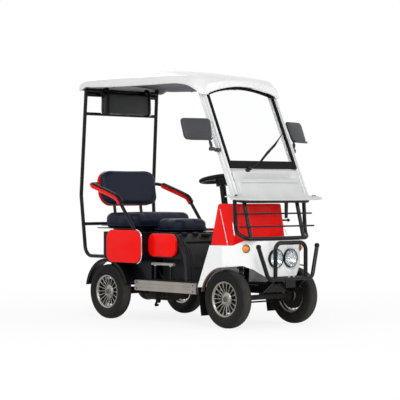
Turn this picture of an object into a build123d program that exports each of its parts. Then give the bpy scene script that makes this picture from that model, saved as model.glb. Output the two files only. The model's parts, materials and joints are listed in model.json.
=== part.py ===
from build123d import *
from math import atan2, cos, degrees, radians, sin, tan
import os

os.makedirs("parts", exist_ok=True)

# Four-wheeled electric passenger cart with a canopy.
# Millimetres; +X forward, +Y to the driver's left, +Z up.
# The origin is on the ground under the middle of the whole cart.

# Wheels and axles
wheelbase = 1130.0
wheelbase_mid_x = 36.0
front_track = 609.0
rear_track = 687.0
tyre_d = 375.0
tyre_w = 92.0
tread_w = 64.0
crown_w = 40.0
tyre_bulge_d = 300.0
tyre_shoulder_drop = 6.0
rim_d = 228.0
rim_w = 70.0
rim_wall = 4.0
rim_lip = 9.0
hub_d = 74.0
hub_w = 56.0
drum_d = 176.0
drum_w = 24.0
spoke_count = 18
spoke_w = 6.0
spoke_t = 9.0
spindle_d = 20.0
running_gap = 0.05
seat_gap = 0.3
axle_z = tyre_d / 2
front_x = wheelbase_mid_x + wheelbase / 2
rear_x = wheelbase_mid_x - wheelbase / 2
front_y = front_track / 2
rear_y = rear_track / 2


def along(share):
    """A place along the wheelbase, as a share of it from its middle."""
    return wheelbase_mid_x + share * wheelbase


# Steering
kingpin_y = 250.0
kingpin_d = 16.0
ear_t = 8.0
riser_t = 7.0
riser_half_w = 10.0
stub_shoulder_d = 34.0
open_pivot_gap = 0.5
knuckle_boss_d = 38.0
knuckle_boss_h = 60.0
knuckle_ear_gap = 0.4
steer_arm = 90.0
ball_y = kingpin_y
ball_pin_d = 12.0
arm_t = 10.0
arm_w = 22.0
arm_root_half_w = 10.0
tie_rod_d = 16.0
tie_eye_d = 26.0
tie_eye_t = 12.0
column_tilt = 10.0
column_d = 42.0
shaft_d = 20.0
wheel_hub_x = front_x - 376.0
wheel_hub_z = 948.0
wheel_ring_r = 142.0
wheel_ring_d = 25.0
wheel_boss_d = 84.0
wheel_boss_drop = 34.0
wheel_ring_rise = 14.0
wheel_spoke_w = 26.0
wheel_spoke_t = 10.0
shaft_len = 420.0
column_top_gap = 39.0

# Chassis frame, floor and sills
rail_y = 140.0
rail_w = 40.0
rail_h = 50.0
rail_top_z = 275.0
rail_rear_x = rear_x - 111.0
rail_front_x = front_x + 119.0
cross_w = 36.0
floor_t = 10.0
seat_box_half_w = 305.0
box_front_x = along(-0.1717)
cover_front_x = along(0.1513)
cross_mid_x = along(0.1)
floor_half_w = seat_box_half_w - 5
floor_rear_x = box_front_x
floor_front_x = front_x - 235.0
sill_rear_x = rear_x + 243.0
sill_front_x = front_x - 274.0
sill_t = 30.0
sill_h = 70.0
sill_drop = 9.0
sill_rib_h = 5.0
sill_rib_w = 14.0
tower_y = 190.0
spring_seat_z = 216.0
tower_top_z = 440.0
tower_bar_h = 14.0
beam_h = 30.0
beam_w = 44.0
shock_spring_d = 54.0
shock_rod_d = 24.0
spring_wire_d = 9.0
coil_turns = 7
rear_tube_d = 50.0
diff_d = 150.0
motor_d = 140.0
motor_len = 210.0

# Front body, console and lamps
body_wall = 6.0
nose_x = front_x + 185.0
nose_bow = 6.0
nose_half_w = 120.0
fender_y = 355.0
fender_straight_x = front_x - 1.0
nose_mid_x = front_x + 104.0
nose_mid_y = 250.0
body_top_z = 530.0
nose_top_z = 560.0
nose_low_z = 330.0
skirt_low_z = 257.0
skirt_rear_x = front_x - 233.0
body_rear_top_x = front_x - 119.0
nose_rise_x = front_x + 49.0
nose_crest_x = front_x + 99.0
arch_gap = 17.0
console_rear_low_x = front_x - 241.0
console_rear_top_x = front_x - 212.0
console_front_x = front_x - 5.0
console_top_front_x = front_x - 11.0
console_low_half_w = 250.0
console_top_half_w = 212.0
console_top_z = 796.0
console_corner_r = 40.0
console_edge_r = 14.0
lamp_d = 122.0
lamp_y = 65.0
lamp_z = 446.0
lamp_front_x = front_x + 205.0
lamp_depth = 60.0
lamp_ring = 6.0
lamp_bowl = 40.0
lens_t = 6.0
indicator_d = 64.0
indicator_z = 510.0
indicator_turn = 52.0
indicator_seat = -12.0
indicator_h = 34.0
flap_t = 4.0
flap_low_z = 72.0
flap_lean = 30.0
flap_w = 100.0

# Bumper and front rack
bumper_d = 27.0
bumper_low_x = front_x + 261.0
bumper_low_z = 318.0
bumper_low_y = 200.0
bumper_tip_x = front_x + 240.0
bumper_tip_y = 269.0
bumper_tip_z = 520.0
hoop_x = front_x + 261.0
hoop_y = 139.0
hoop_top_y = 88.0
hoop_top_z = 548.0
hoop_bend = 50.0
bracket_t = 8.0
plate_t = 6.0
plate_half_w = 45.0
plate_h = 58.0
rack_d = 26.0
rack_top_x = front_x + 73.0
rack_rod_d = 11.0
visor_bar_d = 22.0
visor_bar_x = rack_top_x + 64
visor_bar_z = 812.0
visor_bar_half_w = 300.0
visor_bar_bend = 30.0
hook_w = 24.0
hook_y = 87.0
hook_low_z = 702.0
rack_front_x = front_x + 145.0
rack_low_half_w = 300.0
rack_outer_y = 318.0
rack_inner_y = 242.0
rack_top_z = 846.9
rack_low_z = nose_top_z + rack_d / 2 + seat_gap
rod_lead = 17.0
rack_rod_half_w = 345.0
rack_rod_z = (651.0, 733.0)

# Windscreen, pillars, cowl and roof
screen_foot_x = front_x + 20
screen_foot_z = 1025.0
screen_top_x = front_x - 202
screen_top_z = 1515.0
screen_crown = 54.0
screen_half_w = 304.7
screen_t = 6.0
seal_w = 14.0
seal_foot_w = 50.0
seal_t = 16.0
screen_lean = (screen_top_x - screen_foot_x) / (screen_top_z - screen_foot_z)
pillar_w = 26.0
pillar_t = 52.0
pillar_y = screen_half_w + seat_gap + pillar_w / 2
pillar_foot_z = 848.0
pillar_head_z = 1700.0
pillar_foot_x = screen_foot_x + screen_lean * (pillar_foot_z - screen_foot_z) - pillar_t / 2
roof_half_w = 380.0
roof_wall = 6.0
roof_cut_z = 1500.0
roof_arch_half_w = screen_half_w - 1.7
roof_arch_side_z = 1514.0
roof_rear_x = rear_x - 304.0
roof_front_x = front_x - 177

# Canopy frame
post_d = 26.0
post_bend = 70.0
top_bar_z = 1562.0
post_top_x = rear_x - 288.0
post_top_y = 329.0
post_kink_x = rear_x - 334.0
post_kink_y = 337.0
post_kink_z = 851.0
post_foot_x = rear_x - 297.0
post_foot_y = 325.0
post_foot_z = 425.0
post_top_z = 1575.0
top_bar_d = 32.0
mid_bar_z = 1425.0
low_bar_z = 648.0

# Rear body, seats and seat frame
box_rear_x = rear_x - 56.0
box_half_w = rear_track / 2 + 38.5
box_top_z = 600.0
box_wall = 6.0
box_corner_r = 40.0
mudguard_r = 228.0
mudguard_t = 5.0
mudguard_lip = 22.0
mudguard_rear_z = 227.0
mudguard_front_rise = 0.33
well_half_w = rear_track / 2 - tyre_w / 2 - 5.5
seat_box_top_z = 600.0
seat_box_low_z = 430.0
rear_panel_len = box_front_x - box_rear_x - 67
rear_panel_h = 222.0
rear_panel_mid_x = box_front_x - 2 - rear_panel_len / 2
rear_panel_mid_z = 504.0
front_panel_len = cover_front_x - 87 - box_front_x - 2
front_panel_h = 154.0
front_panel_mid_x = box_front_x + 2 + front_panel_len / 2
front_panel_mid_z = 517.0
panel_t = 18.0
front_panel_t = 34.0
panel_edge_r = 9.0
bench_rear_x = rear_x - 183.0
bench_half_w = 300.0
bench_low_z = 625.0
bench_top_z = 724.0
bench_corner_r = 85.0
driver_rear_x = along(-0.3115)
driver_front_x = along(-0.0655)
bench_front_x = driver_rear_x - 34
driver_half_w = 155.0
driver_low_z = 600.3
driver_top_z = 682.0
driver_corner_r = 70.0
back_half_w = 268.0
back_low_z = 765.0
back_top_z = 1042.0
back_mid_x = rear_x - 239.0
back_lean = 10.0
back_cushion_t = 46.0
back_shell_t = 20.0
back_shell_inset = 8.0
back_corner_r = 78.0
arm_tube_d = 24.0
arm_y = 328.0
arm_rear_x = rear_x - 255.0
arm_rear_z = 932.0
arm_front_x = rear_x + 55
arm_front_z = 835.0
arm_foot_x = box_front_x - 92


# Cover in front of the driver's seat, battery and small parts
cover_t = 22.0
cover_top_back = 149.0
cover_lip_back = 171.0
cover_top_z = 592.0
cover_bulge_back = 57.0
cover_bulge_z = 506.0
cover_foot_back = 3.0
cover_foot_z = 380.0
door_rise = 6.0
door_half_w = 240.0
door_low_z = 372.0
door_top_z = 508.0
slot_low_z = 524.0
slot_top_z = 541.0
slot_half_w = 235.0
slot_depth = 12.0
battery_front_x = cover_front_x - 89
battery_rear_x = box_front_x + 18
battery_half_w = 205.0
battery_top_z = 425.0
pan_t = 6.7
pan_rear_x = rear_x - 217.0
strut_y = 122.0
strut_d = 22.0
arm_pad_r = 22.0
arm_split = 0.2
pouch_half_w = 215.0
pouch_t = 44.0
pouch_low_z = 1428.0
pouch_top_z = 1545.0
pouch_strap_y = 190.0
pouch_strap_w = 22.0
pouch_strap_t = 3.0
mirror_x = front_x - 145
mirror_t = 36.0
mirror_inner_y = 352.0
mirror_outer_y = 561.0
mirror_low_z = 1162.0
mirror_top_z = 1303.0
mirror_glass_t = 3.0
clamp_z = 1126.0
clamp_x = pillar_foot_x + screen_lean * (clamp_z - pillar_foot_z)
tail_lamp_y = 240.0
tail_lamp_z = 520.0
wiper_pivot_y = -152.0
wiper_tip_y = 262.0
wiper_pivot_v = 14.0
wiper_bend_y = 149.0
wiper_bend_v = 154.0
wiper_bend = 80.0
wiper_tip_v = 262.0
wiper_d = 9.0
cowl_t = 5.0
wing_tab_y = 395.0
wing_tab_t = 5.0
cowl_half_w = screen_half_w
wing_half_w = 421.0



# Tubes beside the battery, trailing arms, pedals and the brake lever
side_tube_d = 22.0
side_tube_y = 286.0
side_tube_z = 389.0
side_tube_front_x = cover_front_x - 145
side_leg_x = (box_front_x + 34, cover_front_x - 175)
link_y = 158.0
link_w = 10.0
link_h = 26.0
link_pin_d = 14.0
link_pin_z = 190.0
link_eye_d = 34.0
link_back = 150.0
hanger_t = 8.0
hanger_w = 44.0
pedal_x = front_x - 262
pedal_z = 372.0
pedal_y = (-150.0, -80.0)
pedal_w = 56.0
pedal_h = 66.0
pedal_t = 8.0
pedal_stem_d = 12.0
lever_x = front_x - 40
lever_z = 685.0
lever_y = 290.0
lever_d = 12.0
lever_knob_d = 22.0
def bent_tube(points, diameter, bends=None):
    """A round tube along straight runs, with one bend radius for each corner."""
    with BuildPart() as tube:
        with BuildLine() as route:
            if bends:
                FilletPolyline(*points, radius=bends)
            else:
                Line(points[0], points[-1])
        with BuildSketch(Plane(origin=route.line @ 0, z_dir=route.line % 0)):
            Circle(diameter / 2)
        sweep()
    return tube.part


def side_slab(outline, half_w):
    """A side outline of (x, z) points, drawn out to both sides of the middle."""
    with BuildPart() as slab:
        with BuildSketch(Plane.XZ):
            with BuildLine():
                Polyline(*outline, close=True)
            make_face()
        extrude(amount=half_w, both=True)
    return slab.part


def block(low, high):
    """A box between two corners."""
    with BuildPart() as solid:
        with BuildSketch(Plane.XY.offset(low[2])):
            with Locations(((low[0] + high[0]) / 2, (low[1] + high[1]) / 2)):
                Rectangle(high[0] - low[0], high[1] - low[1])
        extrude(amount=high[2] - low[2])
    return solid.part


def bar_along_y(x, z, y0, y1, diameter):
    """A round bar along Y, from y0 up to y1."""
    with BuildPart() as bar:
        with BuildSketch(Plane.XZ.offset(-y1)):
            with Locations((x, z)):
                Circle(diameter / 2)
        extrude(amount=y1 - y0)
    return bar.part


def rounded_slab(x0, x1, half_w, z0, z1, corner_r, edge_r):
    """A cushion's block: rounded in plan, with its upper and lower edges rounded."""
    with BuildPart() as slab:
        with BuildSketch(Plane.XY.offset(z0)):
            with Locations(((x0 + x1) / 2, 0)):
                RectangleRounded(x1 - x0, 2 * half_w, corner_r)
        extrude(amount=z1 - z0)
        fillet(slab.faces().sort_by(Axis.Z)[-1].edges(), edge_r)
        fillet(slab.faces().sort_by(Axis.Z)[0].edges(), edge_r / 2)
    return slab.part


# Wheels: a road tyre on a spoked alloy rim, turned about Y, outer side towards -Y
def make_tyre():
    tread_r = tyre_d / 2
    shoulder_r = tread_r - tyre_shoulder_drop
    bulge_r = tyre_bulge_d / 2
    flange_r = rim_d / 2 + seat_gap
    bead_r = flange_r - rim_lip
    bead_y = rim_w / 2 - rim_wall - seat_gap
    with BuildPart() as tyre:
        with BuildSketch(Plane.XY):
            with BuildLine():
                Polyline((tread_r, -crown_w / 2), (tread_r, crown_w / 2), (shoulder_r, tread_w / 2),
                         (bulge_r, tyre_w / 2), (flange_r, bead_y), (bead_r, bead_y),
                         (bead_r, -bead_y), (flange_r, -bead_y), (bulge_r, -tyre_w / 2),
                         (shoulder_r, -tread_w / 2), close=True)
            make_face()
        revolve(axis=Axis.Y)
    return tyre.part


def make_rim():
    flange_r = rim_d / 2
    seat_r = flange_r - rim_lip
    bore_r = spindle_d / 2 + running_gap
    face_y = -rim_w / 2 + 4
    with BuildPart() as rim:
        with BuildSketch(Plane.XY):
            with BuildLine():
                Polyline((flange_r, -rim_w / 2), (flange_r, rim_wall - rim_w / 2),
                         (seat_r, rim_wall - rim_w / 2), (seat_r, rim_w / 2 - rim_wall),
                         (flange_r, rim_w / 2 - rim_wall), (flange_r, rim_w / 2),
                         (seat_r - rim_wall, rim_w / 2), (seat_r - rim_wall, -rim_w / 2),
                         close=True)
            make_face()
            with BuildLine():
                Polyline((bore_r, -hub_w / 2), (hub_d / 2 - 4, -hub_w / 2),
                         (hub_d / 2, 4 - hub_w / 2), (hub_d / 2, 0), (drum_d / 2, 0),
                         (drum_d / 2, drum_w), (hub_d / 2, drum_w), (hub_d / 2, hub_w / 2),
                         (bore_r, hub_w / 2), close=True)
            make_face()
        revolve(axis=Axis.Y)
        with BuildSketch(Plane.XZ.offset(-face_y)):
            with PolarLocations(0, spoke_count):
                with Locations(((hub_d / 2 + seat_r) / 2 - 6, 0)):
                    Rectangle(seat_r - hub_d / 2 + 8, spoke_w)
        extrude(amount=-spoke_t)
    return rim.part


tyre_shape = make_tyre()
rim_shape = make_rim()
# name, x, y, turn about Z that brings the rim's face outwards
wheel_table = (
    ("front_right", front_x, -front_y, 0),
    ("front_left", front_x, front_y, 180),
    ("rear_right", rear_x, -rear_y, 0),
    ("rear_left", rear_x, rear_y, 180),
)
for wheel_name, wheel_x, wheel_y, wheel_turn in wheel_table:
    place = Location((wheel_x, wheel_y, axle_z), (0, 0, wheel_turn))
    for piece_name, shape in (("tyre", tyre_shape), ("rim", rim_shape)):
        with BuildPart() as wheel_piece:
            add(shape.moved(place))
        label = f"{piece_name}_{wheel_name}"
        wheel_piece.part.label = label
        export_step(wheel_piece.part, f"parts/{label}.step")

def links(axle_x, reach):
    """The two links that locate an axle: a flat bar and an eye for the hanger's pin on each side."""
    pair = []
    for side in (-1, 1):
        with BuildPart() as link:
            with BuildSketch(Plane.XZ.offset(-side * link_y + link_w / 2)):
                with Locations((axle_x + reach, link_pin_z)):
                    Circle(link_eye_d / 2)
                with Locations((axle_x + reach / 2, (axle_z + link_pin_z) / 2)):
                    Rectangle(abs(reach), link_h)
                with Locations((axle_x + reach, link_pin_z)):
                    Circle(link_pin_d / 2 + running_gap, mode=Mode.SUBTRACT)
            extrude(amount=-link_w)
        pair.append(link.part)
    return pair


# Front axle: a square beam with a yoke at each end, and the pins that the knuckles turn on
boss_low_z = axle_z - knuckle_boss_h / 2
boss_top_z = axle_z + knuckle_boss_h / 2
ear_low_z = boss_low_z - knuckle_ear_gap - ear_t
ear_top_z = boss_top_z + knuckle_ear_gap
beam_end_y = kingpin_y - knuckle_boss_d / 2 - 5
with BuildPart() as front_axle:
    add(block((front_x - beam_w / 2, -beam_end_y, axle_z - beam_h / 2),
              (front_x + beam_w / 2, beam_end_y, axle_z + beam_h / 2)))
    for side in (-1, 1):
        for ear_z in (ear_low_z, ear_top_z):
            with BuildSketch(Plane.XY.offset(ear_z)):
                with Locations((front_x, side * kingpin_y)):
                    Circle(knuckle_boss_d / 2)
                with Locations((front_x, side * (kingpin_y + beam_end_y - riser_t) / 2)):
                    Rectangle(knuckle_boss_d, kingpin_y - beam_end_y + riser_t)
            extrude(amount=ear_t)
        riser_y = side * (beam_end_y - riser_t / 2)
        add(block((front_x - riser_half_w, riser_y - riser_t / 2, ear_low_z),
                  (front_x + riser_half_w, riser_y + riser_t / 2, ear_top_z + ear_t)))
        with BuildSketch(Plane.XY.offset(ear_low_z)):
            with Locations((front_x, side * kingpin_y)):
                Circle(kingpin_d / 2)
        extrude(amount=ear_top_z - ear_low_z + ear_t)
    for link in links(front_x, -link_back):
        add(link)
front_axle.part.label = "front_axle"
export_step(front_axle.part, "parts/front_axle.step")

# Steering knuckles: boss round the kingpin, stub axle, and a steering arm to the rear
ball_x = front_x - steer_arm
arm_low_z = boss_low_z
for side, knuckle_name in ((1, "knuckle_left"), (-1, "knuckle_right")):
    hub_face_y = front_y - hub_w / 2
    with BuildPart() as knuckle:
        with BuildSketch(Plane.XY.offset(boss_low_z)):
            with Locations((front_x, side * kingpin_y)):
                Circle(knuckle_boss_d / 2)
        extrude(amount=knuckle_boss_h)
        add(bar_along_y(front_x, axle_z, *sorted((side * (kingpin_y + 12), side * (hub_face_y - 1))),
                        stub_shoulder_d))
        add(bar_along_y(front_x, axle_z, *sorted((side * (kingpin_y + 12), side * (front_y + hub_w / 2))),
                        spindle_d))
        with BuildSketch(Plane.XY.offset(arm_low_z)):
            with BuildLine():
                Polyline((front_x, side * (kingpin_y - arm_root_half_w)),
                         (front_x, side * (kingpin_y + arm_root_half_w)),
                         (ball_x, side * (ball_y + arm_w / 2)), (ball_x, side * (ball_y - arm_w / 2)),
                         close=True)
            make_face()
            with Locations((ball_x, side * ball_y)):
                Circle(arm_w / 2)
        extrude(amount=arm_t)
        with BuildSketch(Plane.XY.offset(arm_low_z - tie_eye_t - 4)):
            with Locations((ball_x, side * ball_y)):
                Circle(ball_pin_d / 2)
        extrude(amount=tie_eye_t + 6)
        with Locations((front_x, side * kingpin_y, axle_z)):
            Cylinder(kingpin_d / 2 + running_gap, 2 * knuckle_boss_h, mode=Mode.SUBTRACT)
    knuckle.part.label = knuckle_name
    export_step(knuckle.part, f"parts/{knuckle_name}.step")

# Tie rod under the two steering arms
tie_low_z = arm_low_z - tie_eye_t - 2
tie_mid_z = tie_low_z + tie_eye_t / 2
with BuildPart() as tie_rod:
    add(bar_along_y(ball_x, tie_mid_z, 4 - ball_y, ball_y - 4, tie_eye_t - 1))
    for side, eye_gap in ((1, running_gap), (-1, open_pivot_gap)):
        with Locations((ball_x, side * ball_y, tie_mid_z)):
            Cylinder(tie_eye_d / 2, tie_eye_t)
            Cylinder(ball_pin_d / 2 + eye_gap, 2 * tie_eye_t, mode=Mode.SUBTRACT)
tie_rod.part.label = "tie_rod"
export_step(tie_rod.part, "parts/tie_rod.step")

# Rear axle: tube with stub ends, differential case and the motor in front of it
rear_hub_y = rear_y - hub_w / 2
with BuildPart() as rear_axle:
    add(bar_along_y(rear_x, axle_z, 1 - rear_hub_y, rear_hub_y - 1, rear_tube_d))
    add(bar_along_y(rear_x, axle_z, -(rear_y + hub_w / 2), rear_y + hub_w / 2, spindle_d))
    with Locations((rear_x, 0, axle_z)):
        Sphere(diff_d / 2)
    with BuildSketch(Plane.YZ.offset(rear_x)):
        with Locations((0, axle_z)):
            Circle(motor_d / 2)
    extrude(amount=diff_d / 2 + motor_len)
    for side in (-1, 1):
        add(block((rear_x - 18, side * tower_y - 16, axle_z), (rear_x + 18, side * tower_y + 16, spring_seat_z)))
    for link in links(rear_x, link_back):
        add(link)
rear_axle.part.label = "rear_axle"
export_step(rear_axle.part, "parts/rear_axle.step")

# Shock absorbers: rod and coil spring between axle and tower
spring_low_z = {front_x: axle_z + beam_h / 2, rear_x: spring_seat_z}
with BuildPart() as shocks:
    for shock_x, low_z in spring_low_z.items():
        for side in (-1, 1):
            coil_h = tower_top_z - low_z - 2 * seat_gap
            with BuildSketch(Plane.XY.offset(low_z + seat_gap)):
                with Locations((shock_x, side * tower_y)):
                    Circle(shock_rod_d / 2)
            extrude(amount=coil_h)
            for turn in range(coil_turns):
                with Locations((shock_x, side * tower_y, low_z + 30 + turn * (coil_h - 50) / (coil_turns - 1))):
                    Cylinder(shock_spring_d / 2, spring_wire_d)
shocks.part.label = "shocks"
export_step(shocks.part, "parts/shocks.step")

# Frame: two rails, cross members and the shock towers
with BuildPart() as frame:
    for side in (-1, 1):
        add(block((rail_rear_x, side * rail_y - rail_w / 2, rail_top_z - rail_h),
                  (rail_front_x, side * rail_y + rail_w / 2, rail_top_z)))
        for tower_x in (front_x, rear_x):
            add(block((tower_x - 20, side * rail_y - 6, rail_top_z),
                      (tower_x + 20, side * rail_y + 6, tower_top_z)))
    for cross_x in (rail_rear_x + cross_w / 2, box_front_x, cross_mid_x, rail_front_x - cross_w / 2):
        add(block((cross_x - cross_w / 2, -rail_y, rail_top_z - rail_h),
                  (cross_x + cross_w / 2, rail_y, rail_top_z)))
    for tower_x in (front_x, rear_x):
        add(block((tower_x - 24, -tower_y - 32, tower_top_z),
                  (tower_x + 24, tower_y + 32, tower_top_z + tower_bar_h)))
    for pin_x in (front_x - link_back, rear_x + link_back):
        for side in (-1, 1):
            hanger_y = side * (link_y - link_w / 2 - seat_gap - hanger_t / 2)
            add(block((pin_x - hanger_w / 2, hanger_y - hanger_t / 2, link_pin_z - link_eye_d / 2),
                      (pin_x + hanger_w / 2, hanger_y + hanger_t / 2, rail_top_z - rail_h)))
            add(bar_along_y(pin_x, link_pin_z, *sorted((hanger_y, side * (link_y + link_w))), link_pin_d))
frame.part.label = "frame"
export_step(frame.part, "parts/frame.step")

# Floor of the footwell, on the rails
floor_top_z = rail_top_z + floor_t
with BuildPart() as floor_deck:
    add(block((floor_rear_x, -floor_half_w, rail_top_z), (floor_front_x, floor_half_w, floor_top_z)))
floor_deck.part.label = "floor"
export_step(floor_deck.part, "parts/floor.step")

# Ribbed sills along the footwell's sides
sill_top_z = floor_top_z - sill_drop
sill_mid_z = sill_top_z - sill_h / 2
with BuildPart() as sills:
    add(block((sill_rear_x, floor_half_w, sill_top_z - sill_h),
              (sill_front_x, floor_half_w + sill_t, sill_top_z)))
    for rib_z in (sill_mid_z - 24, sill_mid_z, sill_mid_z + 24):
        add(block((sill_rear_x, floor_half_w + sill_t, rib_z - sill_rib_w / 2),
                  (sill_front_x, floor_half_w + sill_t + sill_rib_h, rib_z + sill_rib_w / 2)))
    mirror(about=Plane.XZ)
sills.part.label = "sills"
export_step(sills.part, "parts/sills.step")


# Front body: one shell with the nose, the fenders and the toe board
form_low_z = axle_z - 37.5
cut_margin = 200.0


def nose_form(inset):
    """The front body's outer form, moved inwards by an inset."""
    w = fender_y - inset
    front = nose_x - inset
    with BuildPart() as form:
        with BuildSketch(Plane.XY.offset(form_low_z)):
            with BuildLine():
                Polyline((fender_straight_x, -w), (skirt_rear_x - 60, -w), (skirt_rear_x - 60, w),
                         (fender_straight_x, w))
                ThreePointArc((fender_straight_x, w), (nose_mid_x - inset, nose_mid_y - inset),
                              (front, nose_half_w))
                ThreePointArc((front, nose_half_w), (front + nose_bow, 0), (front, -nose_half_w))
                ThreePointArc((front, -nose_half_w), (nose_mid_x - inset, inset - nose_mid_y),
                              (fender_straight_x, -w))
            make_face()
        extrude(amount=nose_top_z - form_low_z + cut_margin)
        lean = (body_rear_top_x - skirt_rear_x) / (body_top_z - skirt_low_z)
        low_z = form_low_z + 10
        low_x = skirt_rear_x - lean * (skirt_low_z - low_z)
        top = body_top_z - inset
        crest = nose_top_z - inset
        shift = inset * 1.08
        with BuildSketch(Plane.XZ):
            with BuildLine():
                Polyline((low_x + shift, low_z), (body_rear_top_x + shift - lean * inset, top),
                         (nose_rise_x, top), (nose_crest_x, crest), (nose_x + cut_margin, crest),
                         (nose_x + cut_margin, low_z), close=True)
            make_face()
        extrude(amount=fender_y + 10, both=True, mode=Mode.INTERSECT)
    return form.part


arch_r = tyre_d / 2 + arch_gap
with BuildPart() as front_body:
    add(nose_form(0))
    add(nose_form(body_wall), mode=Mode.SUBTRACT)
    with BuildSketch(Plane.XZ):
        with Locations((front_x, axle_z)):
            Circle(arch_r)
        with BuildLine():
            Polyline((front_x, axle_z + arch_r), (front_x + 92, axle_z + arch_r + 10),
                     (front_x + 136, axle_z + arch_r - 16), (nose_x - body_wall - 4, nose_low_z),
                     (nose_x - body_wall - 4, 0), (front_x, 0), close=True)
        make_face()
    extrude(amount=fender_y + 20, both=True, mode=Mode.SUBTRACT)
    for x0, x1, low_edge_z in ((skirt_rear_x - cut_margin, nose_x - 100, skirt_low_z),
                               (nose_x - 110, nose_x + cut_margin, nose_low_z)):
        add(block((x0, -fender_y - cut_margin, 0), (x1, fender_y + cut_margin, low_edge_z)),
            mode=Mode.SUBTRACT)
    for side in (-1, 1):
        with BuildSketch(Plane.YZ.offset(nose_x - 60)):
            with Locations((side * lamp_y, lamp_z)):
                Circle(lamp_d / 2 + seat_gap)
        extrude(amount=cut_margin, mode=Mode.SUBTRACT)
    add(block((skirt_rear_x - 60, -rail_y - rail_w / 2 - 4, 0),
              (skirt_rear_x + 60, rail_y + rail_w / 2 + 4, rail_top_z + seat_gap)), mode=Mode.SUBTRACT)
front_body.part.label = "front_body"
export_step(front_body.part, "parts/front_body.step")

# Headlamps: round barrels through the nose, each with a domed lens
with BuildPart() as headlamps:
    with BuildSketch(Plane.YZ.offset(lamp_front_x)):
        with Locations((lamp_y, lamp_z), (-lamp_y, lamp_z)):
            Circle(lamp_d / 2)
    extrude(amount=-lamp_depth)
    with BuildSketch(Plane.YZ.offset(lamp_front_x)):
        with Locations((lamp_y, lamp_z), (-lamp_y, lamp_z)):
            Circle(lamp_d / 2 - lamp_ring)
    extrude(amount=-lamp_bowl, mode=Mode.SUBTRACT)
headlamps.part.label = "headlamps"
export_step(headlamps.part, "parts/headlamps.step")

with BuildPart() as headlamp_lenses:
    with BuildSketch(Plane.YZ.offset(lamp_front_x - lens_t)):
        with Locations((lamp_y, lamp_z), (-lamp_y, lamp_z)):
            Circle(lamp_d / 2 - lamp_ring - seat_gap / 2)
    extrude(amount=lens_t)
headlamp_lenses.part.label = "headlamp_lenses"
export_step(headlamp_lenses.part, "parts/headlamp_lenses.step")

# Indicators: domes on the shoulders of the nose
indicator_plane = Plane(origin=(nose_mid_x, nose_mid_y, indicator_z), x_dir=(0, 0, 1),
                        z_dir=(cos(radians(indicator_turn)), sin(radians(indicator_turn)), 0))
with BuildPart() as indicators:
    with BuildSketch(indicator_plane.offset(indicator_seat)):
        Circle(indicator_d / 2)
    extrude(amount=indicator_h, taper=12)
    mirror(about=Plane.XZ)
    add(nose_form(0), mode=Mode.SUBTRACT)
indicators.part.label = "indicators"
export_step(indicators.part, "parts/indicators.step")

# Mud flaps behind the front wheels
with BuildPart() as mud_flaps:
    with BuildSketch(Plane.XZ.offset(-fender_y + 2)):
        with BuildLine():
            Polyline((skirt_rear_x + 2, skirt_low_z - seat_gap),
                     (skirt_rear_x + 2 + flap_t, skirt_low_z - seat_gap),
                     (skirt_rear_x + 2 + flap_t + flap_lean, flap_low_z),
                     (skirt_rear_x + 2 + flap_lean, flap_low_z), close=True)
        make_face()
    extrude(amount=flap_w)
    mirror(about=Plane.XZ)
mud_flaps.part.label = "mud_flaps"
export_step(mud_flaps.part, "parts/mud_flaps.step")


# Dash console: the leg shield, open to the rear
def console_form(inset):
    """The console's outer form, moved inwards by an inset."""
    with BuildPart() as form:
        for z, rear_x0, front_x0, half in (
                (body_top_z, console_rear_low_x, console_front_x, console_low_half_w),
                (console_top_z - inset, console_rear_top_x, console_top_front_x, console_top_half_w)):
            with BuildSketch(Plane.XY.offset(z)):
                with Locations(((rear_x0 + front_x0) / 2, 0)):
                    RectangleRounded(front_x0 - rear_x0 - 2 * inset, 2 * (half - inset),
                                     console_corner_r - inset)
        loft()
    return form.part


with BuildPart() as dash_console:
    add(console_form(0))
    fillet(dash_console.faces().sort_by(Axis.Z)[-1].edges(), console_edge_r)
    add(console_form(body_wall), mode=Mode.SUBTRACT)
    add(block((console_rear_low_x - 10, body_wall - console_top_half_w, body_top_z - 10),
              (console_rear_top_x + console_corner_r, console_top_half_w - body_wall,
               console_top_z - body_wall)), mode=Mode.SUBTRACT)
dash_console.part.label = "dash_console"
export_step(dash_console.part, "parts/dash_console.step")

# Steering column: a leaning tube that stands on the floor, with the shaft inside it
lean = tan(radians(column_tilt))
column_plane = Plane(origin=(wheel_hub_x, 0, wheel_hub_z), x_dir=(0, 1, 0),
                     z_dir=(-sin(radians(column_tilt)), 0, cos(radians(column_tilt))))
column_drop = (wheel_hub_z - floor_top_z) / cos(radians(column_tilt)) + 30
with BuildPart() as steering_column:
    with BuildSketch(column_plane.offset(-column_top_gap)):
        Circle(column_d / 2)
        Circle(shaft_d / 2 + running_gap, mode=Mode.SUBTRACT)
    extrude(amount=column_top_gap - column_drop)
    add(block((wheel_hub_x - cut_margin, -column_d, floor_top_z - 2 * column_d),
              (wheel_hub_x + 2 * cut_margin, column_d, floor_top_z)), mode=Mode.SUBTRACT)
steering_column.part.label = "steering_column"
export_step(steering_column.part, "parts/steering_column.step")

with BuildPart() as steering_wheel:
    with Locations(column_plane.offset(wheel_ring_rise)):
        Torus(wheel_ring_r, wheel_ring_d / 2)
    with BuildSketch(column_plane.offset(-wheel_boss_drop)):
        Circle(wheel_boss_d / 2)
    extrude(amount=wheel_boss_drop + wheel_ring_rise + 6)
    with BuildSketch(column_plane.offset(wheel_ring_rise - wheel_spoke_t / 2)):
        with PolarLocations(0, 3, start_angle=-90):
            with Locations((wheel_ring_r / 2, 0)):
                Rectangle(wheel_ring_r, wheel_spoke_w)
    extrude(amount=wheel_spoke_t)
    with BuildSketch(column_plane.offset(-wheel_boss_drop)):
        Circle(shaft_d / 2)
    extrude(amount=-shaft_len)
steering_wheel.part.label = "steering_wheel"
export_step(steering_wheel.part, "parts/steering_wheel.step")

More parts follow.
